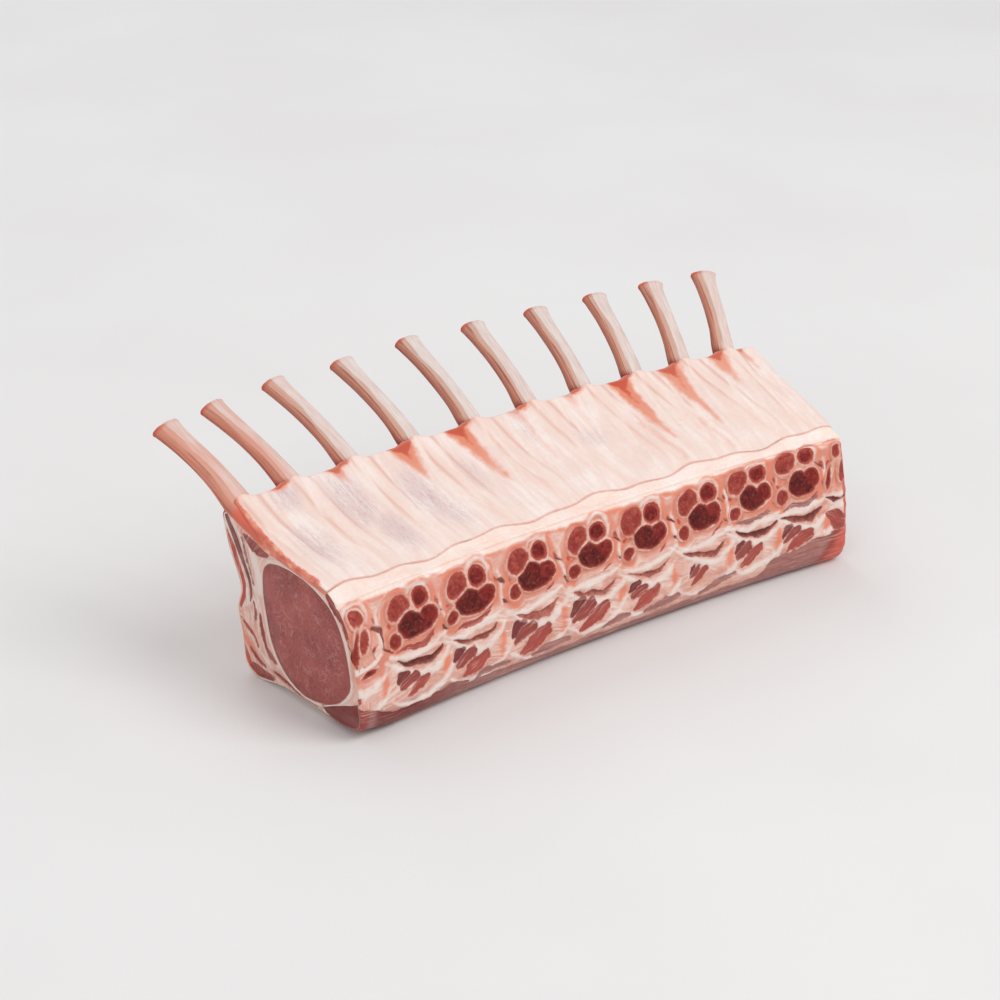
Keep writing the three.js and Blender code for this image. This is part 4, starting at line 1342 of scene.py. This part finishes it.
bone_material, brush, shader = new_material("scraped_bone", subsurface=0.06, coat=0.04)
along = brush.mark("along")
flow = brush.put("CombineXYZ", {0: brush.mark("round"), 1: along, 2: brush.mark("which")}).outputs[0]
long_streaks = brush.noise(flow, 1.0, 4.0, Roughness=0.6)
fine_streaks = brush.noise(flow, 2.6, 3.0)
stain_and_shade = brush.sum(brush.mark("stain_and_shade"), brush.times(brush.less(long_streaks, 0.5), 0.7))
blotches = brush.spread(brush.noise(flow, 0.7, 2.0), 0.4, 0.66, 0.6, 1.5)
foot_blood_and_shade = brush.sum(brush.mark("foot_blood_and_shade"), brush.times(long_streaks, 0.6))
tip = brush.sum(brush.mark("tip"), brush.times(long_streaks, 3.0))
tip_red = brush.times(brush.spread(tip, 1.4, 4.6, 0.85, 0.0), brush.spread(stain_and_shade, -0.5, 0.3, 0.15, 1.0))
# The coats by the stain and shade mark paint the lower left side tan to dark red, with thin darker lines:
# real stains and scraps of red, and painted shade on the side turned from the light.
colour = brush.coats(
    "#E6DAD3",
    (brush.spread(fine_streaks, 0.36, 0.66, 0.0, 0.6), "#D3BFB5"),
    (brush.spread(stain_and_shade, -0.24, 0.02), "#D6AA94"),
    (brush.spread(brush.off(stain_and_shade, -0.12), 0.02, 0.1, 0.45, 0.0), "#A47A69"),
    (brush.spread(brush.off(stain_and_shade, 0.31), 0.03, 0.16, 0.8, 0.0), "#965042"),
    (brush.spread(stain_and_shade, 0.38, 0.52), "#BF7860"),
    (brush.spread(stain_and_shade, 0.74, 0.95), "#8F322C"),
    (brush.times(blotches, brush.mark("warm")), "#E18F76"),
    # Dark red at the foot of each bone: blood, and painted shade where it leaves the meat.
    (brush.spread(foot_blood_and_shade, 0.6, 1.1), "#8A3A32"),
    (brush.spread(along, -0.25, -0.05, 1.0, 0.0), "#DE6E58"),
    (tip_red, "#C9503F"),
    (edge(brush, brush.mark("core"), 0.4, 0.4, 500.0), mottled(brush, "#C77C62", "#7A2C24", 380.0, 1100.0)),
)
streak = brush.spread(long_streaks, 0.36, 0.64)
finish_surface(brush, shader, colour, streak, rough=(0.5, 0.36), bump=(0.4, 0.35))


def rib_line(index):
    """A rib's middle line: stations, points [across, up], the share of its bare length, how settled."""
    exit_station = RIB_STATIONS[index]
    spread_share = 2 * exit_station / LENGTH
    root = np.clip(VERTEBRAE[index][0], -RIB_LAST_ROOT, RIB_LAST_ROOT)
    share = np.linspace(RIB_ROOT_SHARE, 1, RIB_HIDDEN_STEPS)
    depth = mix(*RIB_DEPTHS, ease(share, RIB_ROOT_SHARE, 0.6))
    hidden = run_point("inner_face", exit_station, 1 - share)
    hidden = hidden + inward("inner_face", exit_station, 1 - share) * depth[:, None]
    start = hidden[-1]
    tip = RIB_TIP[0] + RIB_TIP[1] * spread_share + RIB_TIP[2] * spread_share**2
    bend = mix(start, tip, RIB_BEND)
    tip = tip + unit(tip - bend) * RIB_EXTRA[index]
    bare = np.linspace(0, 1, RIB_BARE_STEPS)[1:]
    t = bare[:, None]
    shown = (1 - t) ** 2 * start + 2 * t * (1 - t) * bend + t**2 * tip
    fan = (RIB_FAN if index else FIRST_RIB_FAN) * spread_share
    station = np.concatenate([mix(root, exit_station, share), exit_station + fan * bare])
    settled = np.concatenate([ease(share, 0.6, 1), np.ones(bare.size)])
    return station, np.concatenate([hidden, shown]), np.concatenate([0 * share, bare]), settled


def edge_marks(marks, row, shape):
    """Marks of a grid's row, repeated over another grid that grows from it."""
    return {name: np.broadcast_to(values[row][None], shape) for name, values in marks.items()}


for index in range(len(RIB_STATIONS)):
    station, line, bare, settled = rib_line(index)
    centre = place(station, line[:, 0], line[:, 1]) / MM
    run = unit(np.gradient(centre, axis=0))
    side = unit(np.array([1.0, 0, 0]) - run * run[:, :1])
    up = np.cross(side, run)
    length = np.concatenate([[0], np.cumsum(np.linalg.norm(np.diff(centre, axis=0), axis=1))])
    from_exit = (length - length[np.argmax(bare > 0) - 1])[:, None]
    flare = bare**9
    width, thick = (
        mix(mix(hidden, shown, settled), end, bare) + more * flare
        for hidden, shown, end, more in zip(RIB_HIDDEN, RIB_BARE, RIB_END, RIB_FLARE)
    )
    wider = 0.0 if index else FIRST_RIB_WIDER * settled
    half_width = (width + wider - RIB_WAIST * np.sin(np.pi * bare)) / 2
    half_thick = thick / 2
    angle = round_angles(RIB_SIDES)
    around = pointing(angle)
    cos, sin = (np.sign(around) * np.abs(around) ** RIB_SQUARENESS).T
    ring = side[:, None] * (half_width[:, None] * cos)[..., None]
    ring = ring + up[:, None] * (half_thick[:, None] * sin)[..., None]
    middle = centre + side * (0.5 * RIB_FLARE[0] * flare)[:, None]
    spots = middle[:, None] + ring
    around = 9 * around[None]
    ridged = lumps(together(around[..., 0], around[..., 1], from_exit / 6 + 40 * index), 3.0, 91)
    groove = hump(np.angle(np.exp(1j * (angle - STAINED_AND_SHADED_SIDE))), 0, 0.4)
    relief = (0.3 * ridged - 0.9 * groove * ease(from_exit, 2, 20)) * ease(bare, 0.0, 0.12)[:, None]
    # Real stain and painted shade: the mark is highest on the lower left side, turned from the light.
    stain_and_shade = np.cos(angle - STAINED_AND_SHADED_SIDE)[None] + 0.1 * ridged + (0.1 if index < 2 else 0.0)
    # Blood and painted shade: darker red at each bone's foot where it leaves the meat, on its left side.
    foot_blood_and_shade = np.exp(-np.clip(from_exit, 0, None) / 6.0) * (0.5 + 0.5 * np.cos(angle - np.pi))
    marks = {
        "round": around[..., 0] / 2.2 + around[..., 1] / 1.6, "along": from_exit / 30, "which": 7.3 * index,
        "stain_and_shade": stain_and_shade, "warm": RIB_WARMTH[index], "foot_blood_and_shade": foot_blood_and_shade * (1.0 if index else 0.3),
        "tip": from_exit[-1] - from_exit, "core": -5.0, "relief": relief,
    }
    marks = {name: np.broadcast_to(values, ridged.shape) for name, values in marks.items()}
    patches = [(spots * MM, marks, True)]
    shrink, stand, fade = END_CAP.T[..., None]
    for last, way in ((0, -1), (-1, 1)):
        cap = middle[last] + ring[last] * shrink[..., None] + (run[last] * stand * way)[:, None]
        cap_marks = edge_marks(marks, last, cap.shape[:2])
        if way > 0:
            cap_marks["core"] = np.broadcast_to(5 * (0.8 - shrink), cap.shape[:2])
        cap_marks["relief"] = relief[last] * fade
        patches.append((cap * MM, cap_marks, way > 0))
    number = f"{index + 1:02d}"
    make_piece(f"rib_{number}", patches, bone_material, [f"rib_bone_{number}"])


# Vertebrae. The spine bones, sawn through lengthwise, so each shows as a group of spongy, dark red
# marrow lobes inside pale rims of hard bone, set in the sawn face.
VERTEBRA_DEPTH = 6.0
VERTEBRA_SIDES = 132
VERTEBRA_RINGS = 34
VERTEBRA_WALL_STEPS = 5
VERTEBRA_BACK_STEPS = 3
VERTEBRA_TUCK = 0.5
VERTEBRA_COVER = 0.6
VERTEBRA_LEAST_REACH = 3.0
VERTEBRA_TOP_GAP = 0.8
LAST_FACE_STATION = 160.0
LOBE_TONES = {
    "heart_left": 0.05, "heart_right": 0.42, "heart_foot": 0.2, "upper_left": 0.7, "upper_right": 0.34,
    "lower_left": 0.6, "wedge": 0.7, "foot": 0.3, "strip": 0.5,
}
LOBE_WALL = 0.4
# The middle that a vertebra's rings start from, as (along, up), and the stations that they stay within
END_MIDDLES = {0: (7.5, 4.0), 9: (-9.0, 4.0)}
USUAL_MIDDLE = (-3.0, 3.0)
END_LIMITS = (LEFT_END + 0.5, RIGHT_END + 5.5)

marrow_material, brush, shader = new_material("sawn_marrow", subsurface=0.06, coat=0.02)
shader["Specular IOR Level"].default_value = 0.2
tone = brush.mark("tone")
lobe = brush.mark("lobe")
spot = brush.spot()
pores = brush.put("TexVoronoi", {"Vector": spot, "Scale": 520.0, "Randomness": 1.0}).outputs[0]
pore = brush.spread(pores, 0.1, 0.6)
marrow = brush.coats(
    mottled(brush, "#7E1F1B", "#430B0A", 260.0, 900.0),
    (brush.spread(tone, 0.12, 0.45), mottled(brush, "#9E2E29", "#711816", 240.0, 900.0)),
    (brush.spread(tone, 0.45, 0.85), mottled(brush, "#CC6456", "#9C352E", 330.0, 1000.0)),
    (brush.spread(brush.noise(spot, 520.0, 3.0), 0.48, 0.72, 0.0, 0.55), "#A84C40"),
)
pored = brush.blend(brush.times(pore, 0.45), marrow, (0.45, 0.35, 0.35, 1), blend_type="MULTIPLY")
rim_colour = brush.coats(
    mottled(brush, "#E2A995", "#CF856E", 150.0, 700.0),
    (brush.times(brush.spread(lobe, -1.5, -0.7), brush.mark("rim")),
     mottled(brush, "#EDC9BB", "#DDA392", 150.0, 700.0)),
    (brush.mark("open"), "#C9644F"),
)
warm = brush.blend(brush.spread(lobe, 0.0, 1.8, 0.7, 0.0), pored, "#B8503F")
colour = brush.blend(edge(brush, lobe, 0.5, 0.5, 420.0), rim_colour, warm)
finish_surface(brush, shader, colour, pore, rough=(0.48, 0.32), bump=(0.4, 0.35))


def lobe_reach(lobe, middle, way, grow):
    """Distance from a middle to a grown lobe's far edge, along directions; 0 where they miss it."""
    a, b, half_width, half_height, tilt = lobe
    turn = np.radians(tilt)
    matrix = np.array([[np.cos(turn), np.sin(turn)], [-np.sin(turn), np.cos(turn)]])
    radii = np.array([half_width, half_height]) + grow
    start = matrix @ (np.array(middle) - (a, b)) / radii
    run = way @ matrix.T / radii
    size = (run**2).sum(axis=1)
    halfway = -(run @ start) / size
    room = halfway**2 - (start @ start - 1) / size
    return np.where(room < 0, 0, halfway + np.sqrt(np.maximum(room, 0)))


def face_out(station):
    """Direction straight out of the sawn face."""
    top = run_point("spine_face", station, 0.0)
    foot = run_point("spine_face", station, 1.0)
    ahead = unit(place(station + 1, *top) - place(station - 1, *top))
    return np.cross(ahead, unit(place(station, *top) - place(station, *foot)))


for index, (station, level) in enumerate(VERTEBRAE):
    lobes = LOBE_SETS[index]
    middle = END_MIDDLES.get(index, USUAL_MIDDLE)
    way = pointing(round_angles(VERTEBRA_SIDES))
    cover = LOBE_RIM + VERTEBRA_COVER
    reach = np.max([lobe_reach(lobe, middle, way, cover) for lobe in lobes.values()], axis=0)
    reach = np.maximum(reach, VERTEBRA_LEAST_REACH)
    limit_left = (END_LIMITS[0] - station - middle[0]) / np.minimum(way[:, 0], -1e-6)
    limit_right = (END_LIMITS[1] - station - middle[0]) / np.maximum(way[:, 0], 1e-6)
    reach = np.minimum(reach, np.where(way[:, 0] < 0, limit_left, limit_right))
    limit_top = (level - VERTEBRA_TOP_GAP - middle[1]) / np.maximum(way[:, 1], 1e-6)
    reach = np.minimum(reach, np.where(way[:, 1] > 0, limit_top, np.inf))
    ring = np.linspace(0, 1, VERTEBRA_RINGS)[:, None]
    along = middle[0] + way[None, :, 0] * reach[None] * ring
    upward = middle[1] + way[None, :, 1] * reach[None] * ring
    here = station + along
    warp_a = along + 0.9 * grain(here, upward, 6, 95)
    warp_b = upward + 0.9 * grain(here, upward, 6, 96)
    ovals = {name: oval(warp_a, warp_b, shape) for name, shape in lobes.items()}
    lobe = np.full(along.shape, -FAR)
    tone = np.zeros(along.shape)
    for name, distance in ovals.items():
        for other, rival in ovals.items():
            same_heart = name.startswith("heart") and other.startswith("heart")
            if name != other and not same_heart:
                distance = np.minimum(distance, 0.5 * (distance - rival) - LOBE_WALL)
        own_tone = LOBE_TONES[name] + (0.5 * (1 - ease(distance, 0.9, 2.2)) if name == "upper_right" else 0)
        tone = np.where(distance > lobe, own_tone, tone)
        lobe = np.maximum(lobe, distance)
    tone = tone + 0.3 * ease(warp_b, 11, 17) + 0.12 * grain(here, upward, 5, 98)
    rim = ease(lobe, -cover, -0.5) * (1 - ease(lobe, -0.3, 0.6))
    lift = 0.35 + 0.5 * rim - 0.35 * ease(lobe, 0.0, 2.0)
    lift = lift + 0.14 * grain(here, upward, 1.7, 97) * ease(lobe, 0.0, 0.8)
    lift = lift * (1 - ease(ring, 0.9, 1.0)) - VERTEBRA_TUCK * ease(ring, 0.93, 1.0)
    depth = level - upward
    face = round_top(here, run_point("spine_face", here, depth / SPINE_FACE_HEIGHT), depth)
    out = face_out(np.clip(station, -LAST_FACE_STATION, LAST_FACE_STATION)) * MM
    front = set_in_rack(here, face) + out * lift[..., None]
    open_top = 0.85 * ease(warp_b, 13.5, 17.5) * ease(-warp_a, 1.0, 5.0) * ease(lobe, -1.8, -0.6)
    on_outside = 0.2 + 0.6 * ease(warp_a + 0.7 * warp_b, -6, 10)
    pale_rim = np.maximum(ease(cluster(lobes, along, upward), -0.6, 0.4), on_outside)
    marks = {"lobe": lobe, "tone": tone, "open": open_top, "rim": pale_rim, "relief": np.zeros(lobe.shape)}
    inward_share = np.linspace(0, 1, VERTEBRA_WALL_STEPS)[:, None, None]
    wall = front[-1][None] - out * VERTEBRA_DEPTH * inward_share
    closing_share = np.linspace(0, 1, VERTEBRA_BACK_STEPS)[:, None, None]
    back = mix(wall[-1][None], wall[-1][:-1].mean(axis=0), closing_share)
    patches = [(front, marks, True)]
    patches += [(grid, edge_marks(marks, -1, grid.shape[:2]), True) for grid in (wall, back)]
    number = f"{index + 1:02d}"
    make_piece(f"sawn_vertebra_{number}", patches, marrow_material, [f"vertebra_{number}"])


# Floor, light and camera. A plain pale floor under soft studio lights, seen from the left front and
# above, as the rack lies on its fat side.
FLOOR_HALF = 12.0
floor_material = bpy.data.materials.new("pale_floor")
floor_material.use_nodes = True
brush = Brush(floor_material.node_tree)
shader = brush.tree.nodes["Principled BSDF"].inputs
brush.tree.links.new(mottled(brush, "#ECEAE8", "#E8E5E3", 4.0, 900.0), shader["Base Color"])
shader["Roughness"].default_value = 0.7
mesh = bpy.data.meshes.new("floor")
corners = [(FLOOR_HALF * x, FLOOR_HALF * y, 0) for x, y in ((-1, -1), (1, -1), (1, 1), (-1, 1))]
mesh.from_pydata(corners, [], [(0, 1, 2, 3)])
mesh.materials.append(floor_material)
floor = bpy.data.objects.new("floor", mesh)
bpy.context.scene.collection.objects.link(floor)


def aim(holder, spot, target):
    """Stands a light or camera at a spot, turned to a target."""
    holder.location = spot
    holder.rotation_euler = (Vector(target) - Vector(spot)).to_track_quat("-Z", "Y").to_euler()
    bpy.context.scene.collection.objects.link(holder)


LIGHT_TARGET = (0, 0, 0.06)
# Each light's place, size and power
LIGHTS = {
    "key": ((1.3, -1.8, 2.6), 1.9, 51.0),
    "fill": ((-2.4, -1.5, 1.5), 2.0, 15.0),
    "back": ((0.2, 2.2, 2.2), 2.0, 17.0),
}
for name, (spot, size, power) in LIGHTS.items():
    lamp = bpy.data.lights.new(name, "AREA")
    lamp.size = size
    lamp.energy = power
    aim(bpy.data.objects.new(name, lamp), spot, LIGHT_TARGET)
world = bpy.data.worlds.new("studio")
world.use_nodes = True
sky = world.node_tree.nodes["Background"].inputs
sky["Color"].default_value = (0.95, 0.97, 1.0, 1.0)
sky["Strength"].default_value = 0.56
bpy.context.scene.world = world
bpy.context.scene.view_settings.view_transform = "Standard"

CAMERA_AT = (-0.7340, -0.9834, 0.6732)
CAMERA_TARGET = (-0.06235, -0.06834, 0.1058)
LENS = 86.4
lens = bpy.data.cameras.new("camera")
lens.lens = LENS
lens.sensor_width = 36.0
camera = bpy.data.objects.new("camera", lens)
aim(camera, CAMERA_AT, CAMERA_TARGET)
bpy.context.scene.camera = camera
